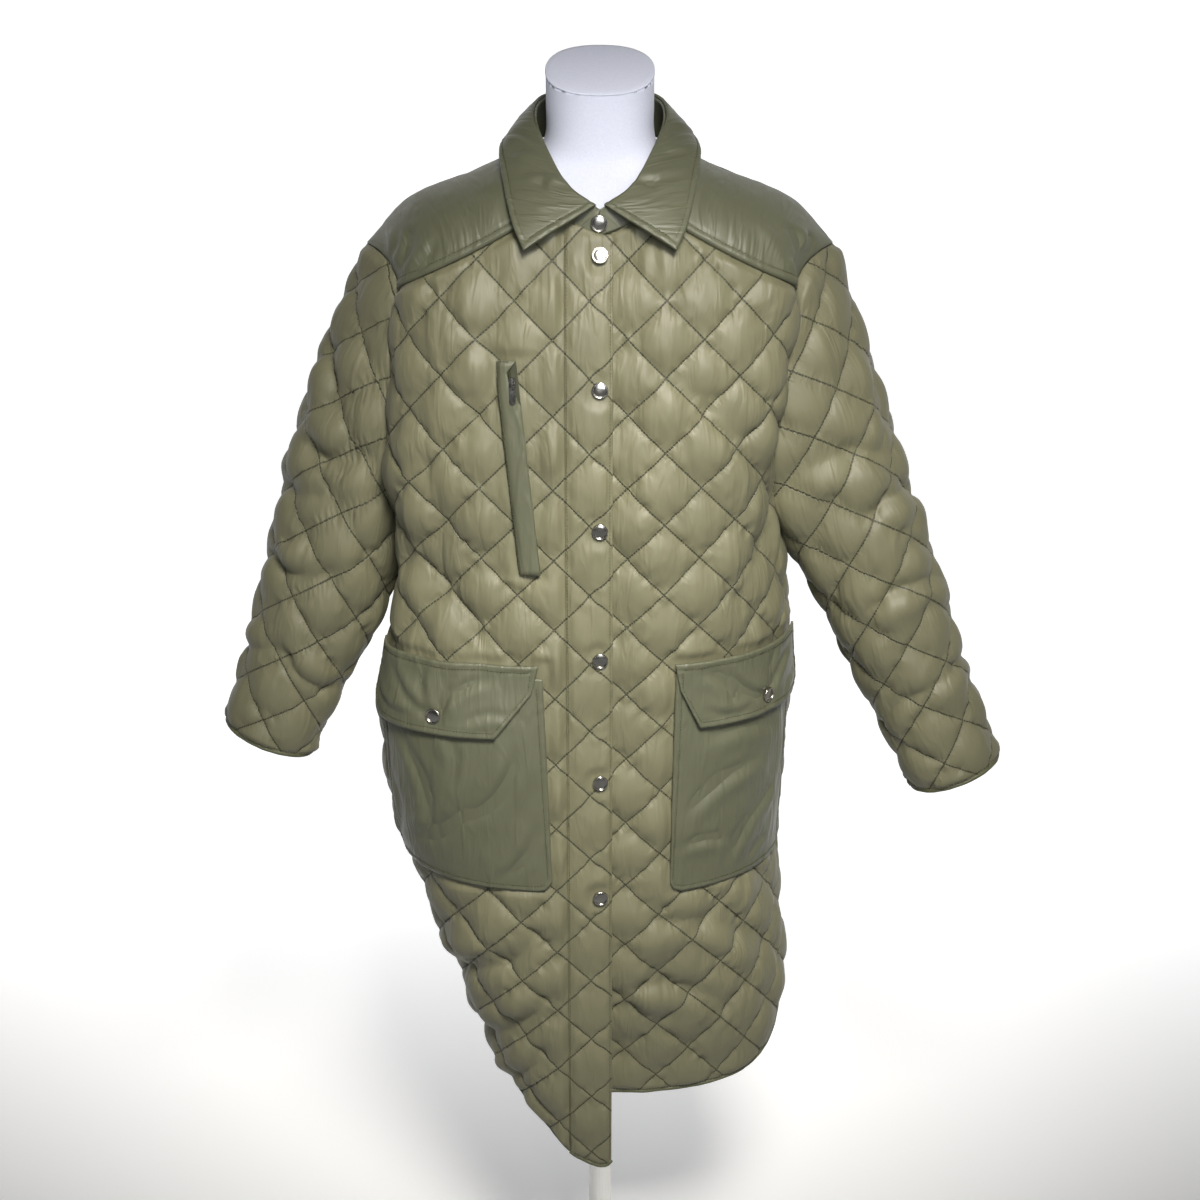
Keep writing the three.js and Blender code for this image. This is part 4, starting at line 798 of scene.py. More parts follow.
def shaped_grid(place, us, vs):
    """Points of place(u, v) over a grid, and their flat sizes measured along the cloth."""
    u, v = np.meshgrid(us, vs)
    points = place(u.ravel(), v.ravel()).reshape(u.shape + (3,))
    across = running_lengths(points)
    middle = np.interp(0.5, np.linspace(0, 1, across.shape[1]), np.arange(across.shape[1])).astype(int)
    across = across - across[:, middle : middle + 1]
    up = running_lengths(np.swapaxes(points, 0, 1)).T
    return points, np.stack([across, up], -1)


LIP_WIDTH = 9.0


def plain_height(a, z, amount=0.5):
    """The slight waviness of plain nylon."""
    return amount * (soft_noise(a / 22 + 5, z / 30) + 0.5 * soft_noise(a / 8, z / 13 + 30))


def lip(distance):
    """A turned and stitched edge: a rounded lip with a groove behind it."""
    t = np.clip(distance / LIP_WIDTH, 0, 1)
    roll = np.sin(np.pi * np.clip(t * 1.0, 0, 1)) ** 0.5 * 2.1
    groove = -0.9 * np.exp(-(((distance - LIP_WIDTH) / 1.3) ** 2))
    return roll * (distance < LIP_WIDTH) + groove


YOKE_HANGS = {
    -1: [(-20, 30, -75, 4, 7, 1.4), (-50, 62, -82, 12, 8, 2.0), (-64, 74, -84, 34, 6, 1.6), (40, 66, 58, 12, 10, 1.0)],
    1: [(66, 30, 84, 4, 7, 2.6), (48, 66, 80, 12, 8, 3.0), (24, 60, 70, 10, 9, 2.0), (76, 78, 82, 30, 6, 2.4), (-40, 60, -55, 10, 10, 1.0)],
}
for side, word in ((-1, "left"), (1, "right")):
    count = max(int(230 / PITCH), 12)
    shares = np.linspace(0, 1, count) if side > 0 else np.linspace(1, 0, count)
    points, flat = shaped_grid(lambda p, q: front_yoke_place(side, p, q), shares, np.linspace(0, 1, max(int(150 / PITCH), 10)))
    a, z = flat[..., 0], flat[..., 1]
    height = 0.6 + lip(z) + plain_height(a, z) + creased(a, z, YOKE_HANGS[side])
    yoke = panel(f"yoke_{word}_cloth", flat, points, height, 1.6, plain_nylon)
    hang(yoke, "coat_on_form", "plain_nylon", f"yoke_front_{word}")

points, flat = shaped_grid(back_yoke_place, np.linspace(1, -1, int(520 / PITCH)), np.linspace(0, 1, max(int(180 / PITCH), 10)))
a, z = flat[..., 0], flat[..., 1]
BACK_YOKE_HANGS = [(-150, 20, -215, 70, 9, 2.0), (160, 16, 214, 78, 9, 2.2), (-60, 100, -90, 20, 12, 1.2), (70, 96, 96, 24, 12, 1.2)]
height = 0.6 + lip(z) + plain_height(a, z) + creased(a, z, BACK_YOKE_HANGS)
back_yoke = panel("yoke_back_cloth", flat, points, height, 1.6, plain_nylon)
hang(back_yoke, "coat_on_form", "plain_nylon", "yoke_back")

# %% [markdown]
# ## Sleeves
# Each sleeve is one flat panel sewn into a tube, with its seam under the arm. It hangs straight out and down
# as it does on a form with no arms, and its head is drawn onto the long drop-shouldered armhole. Soft folds
# gather under the arm, and smaller ones where the lower sleeve slumps.

# %% Sleeve shapes
SLEEVES = {
    "left": {
        "side": -1, "cuff": (-386, -6, 508), "head": (-212, 6, 925),
        "rows": [(-10, 55, 52, 47), (80, 60, 53, 50), (148, 68, 62, 55), (214, 75, 63, 60),
                 (306, 89, 62, 68), (434, 96, 66, 76), (580, 93, 80, 80)],
        "folds": [(110, 330, -40, 300, 13, 3.0), (150, 400, 20, 350, 15, 4.0), (120, 240, 0, 215, 11, 3.0),
                  (-150, 420, -60, 390, 16, 3.4), (-120, 180, -10, 200, 12, 2.4), (60, 120, -60, 95, 10, 2.4),
                  (-160, 300, -70, 275, 13, 3.0), (150, 90, 60, 130, 10, 2.0), (20, 470, 70, 380, 15, 2.4)],
    },
    "right": {
        "side": 1, "cuff": (419, -6, 463), "head": (221, 6, 925),
        "rows": [(-12, 55, 53, 47), (90, 53, 58, 50), (160, 57, 62, 55), (240, 64, 64, 60),
                 (340, 69, 66, 67), (470, 78, 70, 76), (625, 82, 80, 80)],
        "folds": [(-110, 350, 30, 320, 13, 3.2), (-150, 430, -30, 385, 15, 4.0), (-120, 250, 0, 225, 11, 3.0),
                  (150, 430, 60, 400, 16, 3.2), (120, 190, 10, 205, 12, 2.4), (-60, 130, 60, 100, 10, 2.4),
                  (160, 310, 70, 285, 13, 3.0), (-150, 90, -60, 130, 10, 2.0), (-20, 500, -60, 400, 15, 2.4)],
    },
}


def armhole_loop(side):
    """The armhole: up the front edge and the back edge of the body, then over both yokes."""
    points = []
    for face, top in ((-1, YOKE_CORNER), (1, BACK_SIDE)):
        z = np.linspace(UNDERARM + 0.01, top, 33)
        points.append(body_section(np.full(33, side), face, np.ones((1, 1)), z)[:, 0])
        q = np.linspace(0.05, 1, 16)
        p = np.full(16, 1.0 if face < 0 else float(side))
        points.append(front_yoke_place(side, p, q) if face < 0 else back_yoke_place(p, q))
    return np.concatenate(points)


def sleeve_grid(name, pitch):
    """Points of a sleeve from cuff to head, and the same grid as flat cloth."""
    made = SLEEVES[name]
    side, rows = made["side"], made["rows"]
    start = np.array(made["cuff"], float) + (0, 0, COAT_LIFT)
    axis = unit(np.array(made["head"], float) + (0, 0, COAT_LIFT) - start)
    out = unit(np.cross((0, -1, 0), axis) * -side)
    turn_way = np.cross(axis, out)

    def ring_point(turn, l):
        size = smooth_read(rows, l.ravel()).reshape(l.shape + (3,))
        wide = np.where(np.cos(turn) > 0, size[..., 0], size[..., 1]) * np.cos(turn)
        deep = size[..., 2] * np.sin(turn)
        return start + axis * l[..., None] + out * wide[..., None] + turn_way * deep[..., None]

    loop = armhole_loop(side)
    l = (loop - start) @ axis
    size = smooth_read(rows, l)
    u, v = (loop - start) @ out, (loop - start) @ turn_way
    turn = np.arctan2(v / size[:, 2], u / np.where(u > 0, size[:, 0], size[:, 1]))
    order = np.argsort(turn)
    turns, heads = turn[order], l[order]
    pulls = (loop - ring_point(turn, l))[order]
    turns = np.concatenate([[turns[-1] - 2 * math.pi], turns, [turns[0] + 2 * math.pi]])
    heads = np.concatenate([heads[-1:], heads, heads[:1]])
    pulls = np.concatenate([pulls[-1:], pulls, pulls[:1]])
    around = np.linspace(-math.pi + 0.003, math.pi - 0.003, int(420 / pitch) + 1)
    top = np.interp(around, turns, heads)
    up = np.linspace(0, 1, int(600 / pitch) + 1)[:, None]
    length = -4 + up * (top[None] - 1 + 4)
    turn = np.broadcast_to(around, length.shape)
    pull = np.stack([np.interp(around, turns, pulls[:, i]) for i in range(3)], -1)
    points = ring_point(turn, length) + pull[None] * ease(top - 190, top, length)[..., None]
    half_turns = np.linspace(0, math.pi, STEPS + 1)
    flat_a = np.zeros(length.shape)
    for j in range(length.shape[0]):
        ring = ring_point(np.broadcast_to(half_turns, (length.shape[1], STEPS + 1)),
                          np.repeat(length[j][:, None], STEPS + 1, 1))
        reach = running_lengths(ring)
        at = np.abs(around) / math.pi * STEPS
        i = np.minimum(at.astype(int), STEPS - 1)
        column = np.arange(len(around))
        flat_a[j] = np.sign(around) * (reach[column, i] + (reach[column, i + 1] - reach[column, i]) * (at - i))
    return points, np.stack([flat_a, length], -1)


# %% Sleeves
for word, made in SLEEVES.items():
    points, flat = sleeve_grid(word, PITCH * 1.1)
    a, z = flat[..., 0], flat[..., 1]
    left_edge, right_edge, bottom_edge, top_edge = from_edges(flat)
    edge = np.minimum(np.minimum(bottom_edge, top_edge), np.minimum(left_edge, right_edge))
    slump = creased(a, z, made["folds"]) * ease(0, 40, bottom_edge) * ease(0, 60, top_edge)
    points = points + outward(points) * slump[..., None]
    sleeve = panel(f"sleeve_{word}_quilt", flat, points, quilt_depth(a, z, edge), 2.0, quilted_nylon)
    hang(sleeve, "coat_on_form", "quilted_nylon", f"sleeve_{word}")

# %% [markdown]
# ## Collar
# The collar has a stand round the neck and a leaf that folds down over it. The leaf is stiffened, so its
# points stay flat and sharp. A row of stitches runs eight millimetres in from its edge, and the cloth between
# the row and the edge is puckered.

# %% Collar
COLLAR = [
    (0, 0, -113, 1106, 4, -110, 1135, 76, -141, 1094),
    (0.2, 38, -105, 1122, 29, -97, 1151, 88, -118, 1119),
    (0.4, 67, -74, 1146, 49, -64, 1177, 98, -72, 1156),
    (0.6, 80, -18, 1178, 68, -8, 1214, 102, -14, 1183),
    (0.8, 64, 47, 1186.5, 56, 45, 1230, 82, 72, 1183),
    (1, 0, 76, 1188, 0, 71, 1234, 0, 106, 1180),
]


def collar_grid(low, high, count, rows, bulge, ends):
    """The collar between two of its lines, from one front end round the back to the other."""
    i = np.linspace(-1, 1, 2 * count + 1)
    row = smooth_read(COLLAR, 1 - np.abs(i) * (1 - ends))
    side = np.where(i < 0, 1, -1)
    line = lambda k: np.stack([side * row[:, 3 * k], row[:, 3 * k + 1], row[:, 3 * k + 2] + COAT_LIFT], -1)
    v = np.linspace(0, 1, rows + 1)[:, None, None]
    points = line(low)[None] * (1 - v) + line(high)[None] * v
    away = points * (1, 1, 0) + (0, 10, 0)
    points = points + unit(away) * (bulge * np.sin(np.pi * v))
    across = running_lengths(points)
    across = across - across[:, count : count + 1]
    up = running_lengths(np.swapaxes(points, 0, 1)).T
    return points, np.stack([across, up], -1)


def edge_row(distance, at, width=1.1, depth=0.7):
    """The dent of a stitched row at a distance from an edge."""
    return -depth * np.exp(-(((distance - at) / width) ** 2))


def hemmed(flat, row_at, edges=(0, 1, 2, 3)):
    """Height along the stitched edges: a full rim, a dented row, and puckers between."""
    distances = from_edges(flat)
    near = np.minimum.reduce([distances[k] for k in edges])
    a, z = flat[..., 0], flat[..., 1]
    pucker = soft_noise(a / 3.4, z / 3.4 + 17) * np.exp(-(((near - row_at * 0.6) / (row_at * 0.7)) ** 2))
    rim = 0.9 * np.exp(-(((near - row_at * 0.45) / (row_at * 0.35)) ** 2))
    return edge_row(near, row_at) + 0.55 * pucker + rim


stand_points, stand_flat = collar_grid(0, 1, 70, 14, 1, -0.03)
lap = ease(0.96, 0.99, np.linspace(-1, 1, stand_flat.shape[1]))
stand_points = stand_points + np.stack([0 * lap, 2.4 * lap, 0 * lap], -1)[None]
a, z = stand_flat[..., 0], stand_flat[..., 1]
STAND_HANGS = [(-205, 4, -170, 30, 5, 1.2), (205, 4, 176, 30, 5, 1.2), (-120, 4, -112, 34, 5, 1.0), (118, 2, 126, 30, 5, 1.0), (-30, 6, -24, 40, 6, 0.8), (44, 4, 40, 40, 6, 0.8)]
stand = panel("collar_stand_cloth", stand_flat, stand_points, 0.3 + plain_height(a, z, 0.4) + creased(a, z, STAND_HANGS), 1.6, plain_nylon)
hang(stand, "coat_on_form", "plain_nylon", "collar_stand")

leaf_points, leaf_flat = collar_grid(2, 1, 110, 30, 4, 0)
leaf_points = leaf_points + unit(leaf_points * (1, 1, 0) + (0, 10, 0)) * 2.6 + (0, 0, 2.6)
a, z = leaf_flat[..., 0], leaf_flat[..., 1]
LEAF_HANGS = [
    (-238, 20, -222, 70, 6, 1.2), (-250, 40, -225, 50, 5, 1.0), (-200, 12, -190, 44, 6, 1.2),
    (-160, 10, -150, 40, 6, 1.0), (236, 18, 220, 66, 6, 1.3), (252, 40, 226, 48, 5, 1.1),
    (205, 12, 186, 40, 6, 1.4), (165, 12, 172, 44, 6, 1.2), (-80, 8, -70, 44, 7, 1.0),
    (90, 10, 80, 46, 7, 1.0), (4, 8, -6, 48, 7, 0.9),
]
height = 0.8 + hemmed(leaf_flat, 8.0, (0, 1, 2)) + plain_height(a, z, 0.45) + creased(a, z, LEAF_HANGS)
leaf = panel("collar_leaf_cloth", leaf_flat, leaf_points, height, 1.6, plain_nylon)
hang(leaf, "coat_on_form", "plain_nylon", "collar_leaf")

# %% [markdown]
# ## Pockets, flaps and welt
# The patch pockets are plain cloth, stitched down round three sides over the quilting, and their flaps snap
# shut over them. A tall chest pocket is closed by a zip under a narrow welt. The pockets belly out a little,
# and creases run from the flap snaps and slant across the bags.

# %% Pockets and flaps
POCKETS = {
    "left": [(-256, 640), (-256, 404), (-249, 397), (-214, 395), (-76, 384), (-62, 385), (-54, 396), (-62, 640)],
    "right": [(82, 640), (79, 384), (83, 375), (93, 371), (214, 372), (250, 372), (260, 378), (262, 640)],
}
FLAPS = {
    "left": [(-268, 655), (-268, 596), (-262, 582), (-250, 574), (-114, 574), (-74, 624), (-66, 655)],
    "right": [(80, 653), (86, 622), (108, 574), (258, 574), (268, 582), (272, 596), (272, 653)],
}
POCKET_HANGS = {
    "left": [(-90, 560, -150, 470, 8, 1.8), (-220, 560, -190, 440, 8, 1.6), (-130, 520, -225, 430, 10, 1.6),
             (-70, 470, -110, 400, 7, 1.4), (-160, 570, -170, 500, 7, 1.2), (-240, 500, -250, 420, 6, 1.0)],
    "right": [(96, 470, 190, 520, 9, 1.7), (150, 400, 230, 480, 9, 1.8), (95, 430, 150, 425, 7, 1.3),
              (120, 560, 230, 540, 9, 1.2), (240, 560, 215, 430, 8, 1.5), (180, 390, 215, 410, 6, 1.2)],
}
FLAP_HANGS = {
    "left": [(-178, 592, -120, 640, 6, 1.6), (-178, 592, -235, 640, 6, 1.5), (-186, 600, -190, 648, 5, 1.1),
             (-168, 598, -150, 648, 5, 1.1), (-205, 590, -262, 604, 5, 1.1), (-150, 588, -96, 600, 5, 1.0)],
    "right": [(196, 592, 140, 640, 6, 1.8), (196, 592, 250, 636, 6, 1.4), (120, 640, 150, 590, 7, 1.6),
              (204, 600, 214, 648, 5, 1.1), (170, 588, 112, 596, 5, 1.1), (226, 588, 268, 600, 5, 1.0)],
}


def bellied(name, a, z):
    """The swell of a pocket over its own box, from 0 at its edges to 1."""
    corners = np.asarray({"left": POCKETS["left"], "right": POCKETS["right"]}[name])
    low, high = corners.min(0), corners.max(0)
    u = np.clip((a - low[0]) / (high[0] - low[0]), 0, 1)
    v = np.clip((z - low[1]) / (high[1] - low[1]), 0, 1)
    return np.sin(np.pi * u) * np.sin(np.pi * v)


def bag_edges(outline, first, last):
    """The bottom, top, left and right edges of an outline whose bottom runs from corner first to corner last."""
    outline = np.asarray(outline, float)
    bottom, left, right = outline[first : last + 1], outline[: first + 1][::-1], outline[last:]
    return bottom, np.stack([outline[0], outline[-1]]), left, right


for word, place in (("left", front_place), ("right", under_place)):
    flat = stretched_grid(*bag_edges(POCKETS[word], 1 if word == "left" else 1, 6), 2.8)
    a, z = flat[..., 0], flat[..., 1]
    under = place(a, z)
    under = under + outward(under) * (5.3 + 7 * bellied(word, a, z))[..., None]
    height = 1.6 + hemmed(flat, 7.0, (0, 1, 2)) + plain_height(a, z, 0.6) + creased(a, z, POCKET_HANGS[word])
    pocket = panel(f"pocket_{word}_cloth", flat, under, height, 0.0, plain_nylon)
    hang(pocket, "coat_on_form", "plain_nylon", f"pocket_{word}", rests_on=[f"front_{word}_quilt"])
    flat = stretched_grid(*bag_edges(FLAPS[word], 1, 5), 2.4)
    a, z = flat[..., 0], flat[..., 1]
    under = place(a, z)
    snap_a = {"left": -178, "right": 196}[word]
    pinched = np.exp(-((a - snap_a) ** 2 + (z - 594) ** 2) / 15**2)
    stand_off = 3.0 * (1 - ease(574, 634, z)) - 3.4 * pinched
    under = under + outward(under) * (8.4 + 7 * bellied(word, a, z) + stand_off)[..., None]
    height = 2.0 + hemmed(flat, 7.0) + plain_height(a, z, 0.5) + creased(a, z, FLAP_HANGS[word])
    flap = panel(f"flap_{word}_cloth", flat, under, height, 0.0, plain_nylon)
    hang(flap, "coat_on_form", "plain_nylon", f"flap_{word}", rests_on=[f"pocket_{word}_cloth"])

# %% Welt and zip tape
WELT_TOP, WELT_BOTTOM = np.array((-97.0, 984.0)), np.array((-74.0, 757.0))


def strip(low, high):
    """Edges of an upright strip between two distances across the welt's middle line."""
    corner = lambda end, across: end + (across, 0)
    return (
        [corner(WELT_BOTTOM, low), corner(WELT_BOTTOM, high)], [corner(WELT_TOP, low), corner(WELT_TOP, high)],
        [corner(WELT_BOTTOM, low), corner(WELT_TOP, low)], [corner(WELT_BOTTOM, high), corner(WELT_TOP, high)],
    )


bottom, top, left, right = strip(1.5, 11.7)
flat = stretched_grid(bottom, top, left, right, 1.6)
under = front_place(flat[..., 0], flat[..., 1])
tape_strip = panel("tape_cloth", flat, under + outward(under) * 5.3, 1.0, 0.0, tape)
hang(tape_strip, "coat_on_form", "zip_tape", "zip_tape", held="stretched", rests_on=["front_left_quilt"])

bottom, top, left, right = strip(-10.5, 11.7)
along = lambda share, across: WELT_BOTTOM + (WELT_TOP - WELT_BOTTOM) * share + (across, 0)
right = [along(0, 11.7), along(0.8, 12.2), along(0.84, 8), along(0.88, 3), along(0.95, 2.2), along(1, 11.7)]
flat = stretched_grid(bottom, top, left, right, 1.6)
a, z = flat[..., 0], flat[..., 1]
left_edge, right_edge, low_edge, top_edge = from_edges(flat)
round_over = np.sqrt(np.clip(left_edge * right_edge, 0, None)) / 11
under = front_place(a, z)
over_coil = 2.7 * ease(0, 7, left_edge) * ease(0, 5, low_edge) * ease(0, 5, top_edge)
under = under + outward(under) * (5.3 + over_coil)[..., None]
WELT_HANGS = [(-84, 940, -80, 860, 2.6, 0.7), (-90, 976, -86, 930, 2.0, 0.6), (-74, 850, -66, 780, 2.8, 0.5)]
height = 1.2 + 1.3 * round_over + 0.3 * soft_noise(a / 5, z / 22) + creased(a, z, WELT_HANGS)
welt = panel("welt_cloth", flat, under, height, 0.0, plain_nylon)
hang(welt, "coat_on_form", "plain_nylon", "chest_welt", held="stretched", rests_on=["front_left_quilt"])

# %% [markdown]
# ## Bindings and stitches
# The hems and cuffs are bound with a folded tape of the same nylon, and rows of stitches run along the seams,
# the placket and the pockets. A binding is a small oval swept along a panel's edge. Each stitch of a row that
# is not quilting is a short thick thread of its own, sunk a little into the cloth.

# %% Bindings
def inset_line(name, edge, distance, lift=0.0):
    """A line on a panel's outer face at a distance in from one edge, with its outward directions."""
    made = PANELS[name]
    flat, outer, normal = made["flat"], made["outer"], made["normal"]
    if edge in ("left", "right"):
        flat, outer, normal = (np.swapaxes(grid, 0, 1) for grid in (flat, outer, normal))
    if edge in ("top", "right"):
        flat, outer, normal = flat[::-1], outer[::-1], normal[::-1]
    reach = running_lengths(np.swapaxes(flat, 0, 1))
    columns = np.arange(flat.shape[1])
    i = np.clip((reach[:, 1:-1] < distance).sum(1), 0, flat.shape[0] - 2)
    share = np.clip((distance - reach[columns, i]) / (reach[columns, i + 1] - reach[columns, i]), 0, 1)[:, None]
    line = outer[i, columns] * (1 - share) + outer[i + 1, columns] * share
    away = unit(normal[i, columns] * (1 - share) + normal[i + 1, columns] * share)
    return line + away * lift, away


def swept(name, line, away, half_width, half_thick, material, rounds=10, wave=0.0, wave_length=9.0):
    """An oval tube along a line, wide along the cloth and thin across it."""
    lengths = running_lengths(line)
    count = max(int(lengths[-1] / 3.0), 4)
    at = np.linspace(0, lengths[-1], count + 1)
    resample = lambda grid: np.stack([np.interp(at, lengths, grid[:, k]) for k in range(3)], -1)
    line, away = resample(line), unit(resample(away))
    ahead = unit(np.gradient(line, axis=0))
    across = np.cross(ahead, away)
    turns = np.linspace(0, 2 * np.pi, rounds, endpoint=False)
    uneven = 1 + wave * soft_noise(at / wave_length, np.zeros_like(at) + len(name))
    ring = (
        line[:, None]
        + across[:, None] * (np.cos(turns) * half_width)[None, :, None] * uneven[:, None, None]
        + away[:, None] * (np.sin(turns) * half_thick)[None, :, None] * uneven[:, None, None]
    )
    index = np.arange(ring.shape[0] * rounds).reshape(-1, rounds)
    beside = np.roll(index, -1, axis=1)
    faces = np.stack([index[:-1], beside[:-1], beside[1:], index[1:]], -1).reshape(-1, 4)
    uv = np.stack([np.repeat(at[:, None], rounds, 1), np.repeat((turns * 2)[None], len(at), 0)], -1)
    made = mesh_piece(name, ring, faces.tolist() + [index[0][::-1].tolist(), index[-1].tolist()], [material], uv)
    return made


def bound(name, panel_name, edge, body="coat_on_form", half_width=2.6, half_thick=2.4):
    """A binding folded over one edge of a panel."""
    outer, away = inset_line(panel_name, edge, 0.8)
    line = outer - away * 1.1
    made = swept(name, line, away, half_width, half_thick, edge_nylon, wave=0.1)
    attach(made, body)
    length = running_lengths(line)[-1] * MM
    return made


for name, panel_name, edge in (
    ("hem_binding_left", "front_left_quilt", "bottom"), ("hem_binding_right", "front_right_quilt", "bottom"),
    ("hem_binding_back", "back_quilt", "bottom"), ("cuff_binding_left", "sleeve_left_quilt", "bottom"),
    ("cuff_binding_right", "sleeve_right_quilt", "bottom"), ("placket_hem_binding", "placket_quilt", "bottom"),
):
    bound(name, panel_name, edge)
print("bindings on", 6, "edges")

# %% Rows of stitches
def stitch_row(line, away, pitch=3.6, length=2.7, radius=0.42):
    """Short threads along a line: points and faces of all of them."""
    lengths = running_lengths(line)
    starts = np.arange(2, lengths[-1] - pitch, pitch)
    resample = lambda grid, at: np.stack([np.interp(at, lengths, grid[:, k]) for k in range(3)], -1)
    first, second = resample(line, starts), resample(line, starts + length)
    up = unit(resample(away, starts))
    ahead = unit(second - first)
    across = np.cross(ahead, up)
    rings = [first, first + (second - first) * 0.2, first + (second - first) * 0.8, second]
    points = []
    for k, ring in enumerate(rings):
        size = radius if k in (1, 2) else radius * 0.35
        drop = 0.1 if k in (1, 2) else -0.25
        for turn in (0.25, 0.75, 1.25, 1.75):
            points.append(ring + up * drop + (across * math.cos(turn * math.pi) + up * math.sin(turn * math.pi)) * size)
    points = np.stack(points, 1)
    base = (np.arange(len(starts)) * 16)[:, None]
    quads = []
    for k in range(3):
        for j in range(4):
            quads.append((4 * k + j, 4 * k + (j + 1) % 4, 4 * k + 4 + (j + 1) % 4, 4 * k + 4 + j))
    quads += [(3, 2, 1, 0), (12, 13, 14, 15)]
    faces = (base[:, None] + np.array(quads)[None]).reshape(-1, 4)
    return points.reshape(-1, 3), faces


def stitched(name, rows, lift=0.35):
    """One object of stitch rows: (panel, edge, distance in from it)."""
    points, faces, count = [], [], 0
    for panel_name, edge, distance in rows:
        line, away = inset_line(panel_name, edge, distance, lift)
        lengths = running_lengths(line)
        keep = (lengths > distance) & (lengths < lengths[-1] - distance)
        made_points, made_faces = stitch_row(line[keep], away[keep])
        faces.append(made_faces + count)
        points.append(made_points)
        count += len(made_points)
    made = mesh_piece(name, np.concatenate(points), np.concatenate(faces), [thread])
    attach(made, "coat_on_form")
    print(f"{name}: {count // 16} stitches")
    return made


stitched("yoke_stitches", [("yoke_left_cloth", "bottom", LIP_WIDTH), ("yoke_right_cloth", "bottom", LIP_WIDTH),
                           ("yoke_back_cloth", "bottom", LIP_WIDTH)])
stitched("placket_stitches", [("placket_quilt", "left", 2.2), ("placket_quilt", "right", 3.4)])
stitched("collar_stitches", [("collar_leaf_cloth", edge, 8.0) for edge in ("bottom", "left", "right")])
stitched("pocket_stitches", [(f"pocket_{word}_cloth", edge, 7.0) for word in ("left", "right")
                             for edge in ("bottom", "left", "right")])
stitched("flap_stitches", [(f"flap_{word}_cloth", edge, 7.0) for word in ("left", "right")
                           for edge in ("bottom", "left", "right", "top")])
stitched("hem_stitches", [("front_left_quilt", "bottom", 5.0), ("front_right_quilt", "bottom", 5.0),
                          ("back_quilt", "bottom", 5.0), ("sleeve_left_quilt", "bottom", 6.0),
                          ("sleeve_right_quilt", "bottom", 6.0), ("placket_quilt", "bottom", 5.0)])
stitched("welt_stitches", [("welt_cloth", "left", 2.2), ("welt_cloth", "top", 2.2), ("welt_cloth", "bottom", 2.2)])

# %% [markdown]
# ## Metal
# The snaps are pressed nickel-plated caps: a slightly domed face inside a thin rolled rim. The zip has a
# moulded coil, a slider and a pull tab. Small metal parts look real when their edges are rounded enough to
# catch a line of light, so the CAD's slider and tab get a bevel, and each cap is turned from a fine profile.

# %% Snaps
def cap_profile():
    """Radius and height of a snap cap from its middle out, in mm."""
    face = [(0.0, 2.35), (2.5, 2.3), (5.0, 2.1), (6.6, 1.75), (7.0, 1.6)]
    rim = [(7.75 - 0.75 * math.cos(t), 2.15 + 0.75 * math.sin(t)) for t in np.linspace(-0.5, math.pi, 9)]
    return face + rim + [(8.5, 1.6), (8.4, 0.5), (7.9, 0.0), (0.0, 0.0)]


def turned_piece(name, rings, frame_matrix, material, around=40):
    """A turned mesh from (radius, height) points, set on a place by its matrix."""
    radius, height = np.array(rings).T
    turn = np.linspace(0, 2 * math.pi, around, endpoint=False)
    points = np.stack([np.outer(radius, np.cos(turn)), np.outer(radius, np.sin(turn)),
                       np.repeat(height[:, None], around, 1)], -1)
    points = points @ np.array(frame_matrix)[:3, :3].T + np.array(frame_matrix)[:3, 3]
    index = np.arange(len(rings) * around).reshape(-1, around)
    beside = np.roll(index, -1, axis=1)
    faces = np.stack([index[:-1], index[1:], beside[1:], beside[:-1]], -1).reshape(-1, 4)
    made = mesh_piece(name, points, faces, [material])
    merge = made.modifiers.new("close_middle", "WELD")
    merge.merge_threshold = 0.00002
    return made


def node_points(node):
    """The corners of a CAD node's mesh, in mm."""
    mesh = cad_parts[node].data
    points = np.zeros(len(mesh.vertices) * 3, np.float32)
    mesh.vertices.foreach_get("co", points)
    return points.reshape(-1, 3).astype(float) / MM


def cap_frame(node):
    """Middle of a snap's base and its three directions, from the CAD node's own mesh."""
    points = node_points(node)
    middle = points.mean(0)
    _, _, axes = np.linalg.svd(points - middle, full_matrices=False)
    out = axes[2] if axes[2] @ (middle * (1, 1, 0)) > 0 else -axes[2]
    across = unit(np.cross((0, 0, 1), out))
    base = middle + out * (np.min((points - middle) @ out))
    matrix = np.eye(4)
    matrix[:3, :3] = np.stack([across, np.cross(out, across), out], -1)
    matrix[:3, 3] = base
    return matrix


for node in [f"snap_{k}" for k in range(1, 8)] + ["flap_snap_left", "flap_snap_right"]:
    matrix = cap_frame(node)
    cap = turned_piece(node + "_cap", cap_profile(), matrix, nickel)
    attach(cap, "coat_on_form")
    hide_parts(node)
print("nine snap caps")

# %% Zip
for node, body in (("zip_slider", "coat_on_form"), ("pull_tab", "zip_pull")):
    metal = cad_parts[node]
    metal.data.materials.clear()
    metal.data.materials.append(nickel)
    bevel = metal.modifiers.new("rounded_edges", "BEVEL")
    bevel.width = 0.00022
    bevel.segments = 2
    bevel.limit_method = "ANGLE"
tape_line, tape_away = inset_line("tape_cloth", "left", 2.4, 0.9)
coil_turns = np.linspace(0, 1, 1400)
lengths = running_lengths(tape_line)
along = coil_turns * lengths[-1]
middle = np.stack([np.interp(along, lengths, tape_line[:, k]) for k in range(3)], -1)
out = unit(np.stack([np.interp(along, lengths, tape_away[:, k]) for k in range(3)], -1))
beside = np.cross(unit(np.gradient(middle, axis=0)), out)
phase = along / 1.6 * 2 * math.pi
coil_line = middle + beside * (1.3 * np.cos(phase))[:, None] + out * (0.5 * np.sin(phase))[:, None]
ahead = unit(np.gradient(coil_line, axis=0))
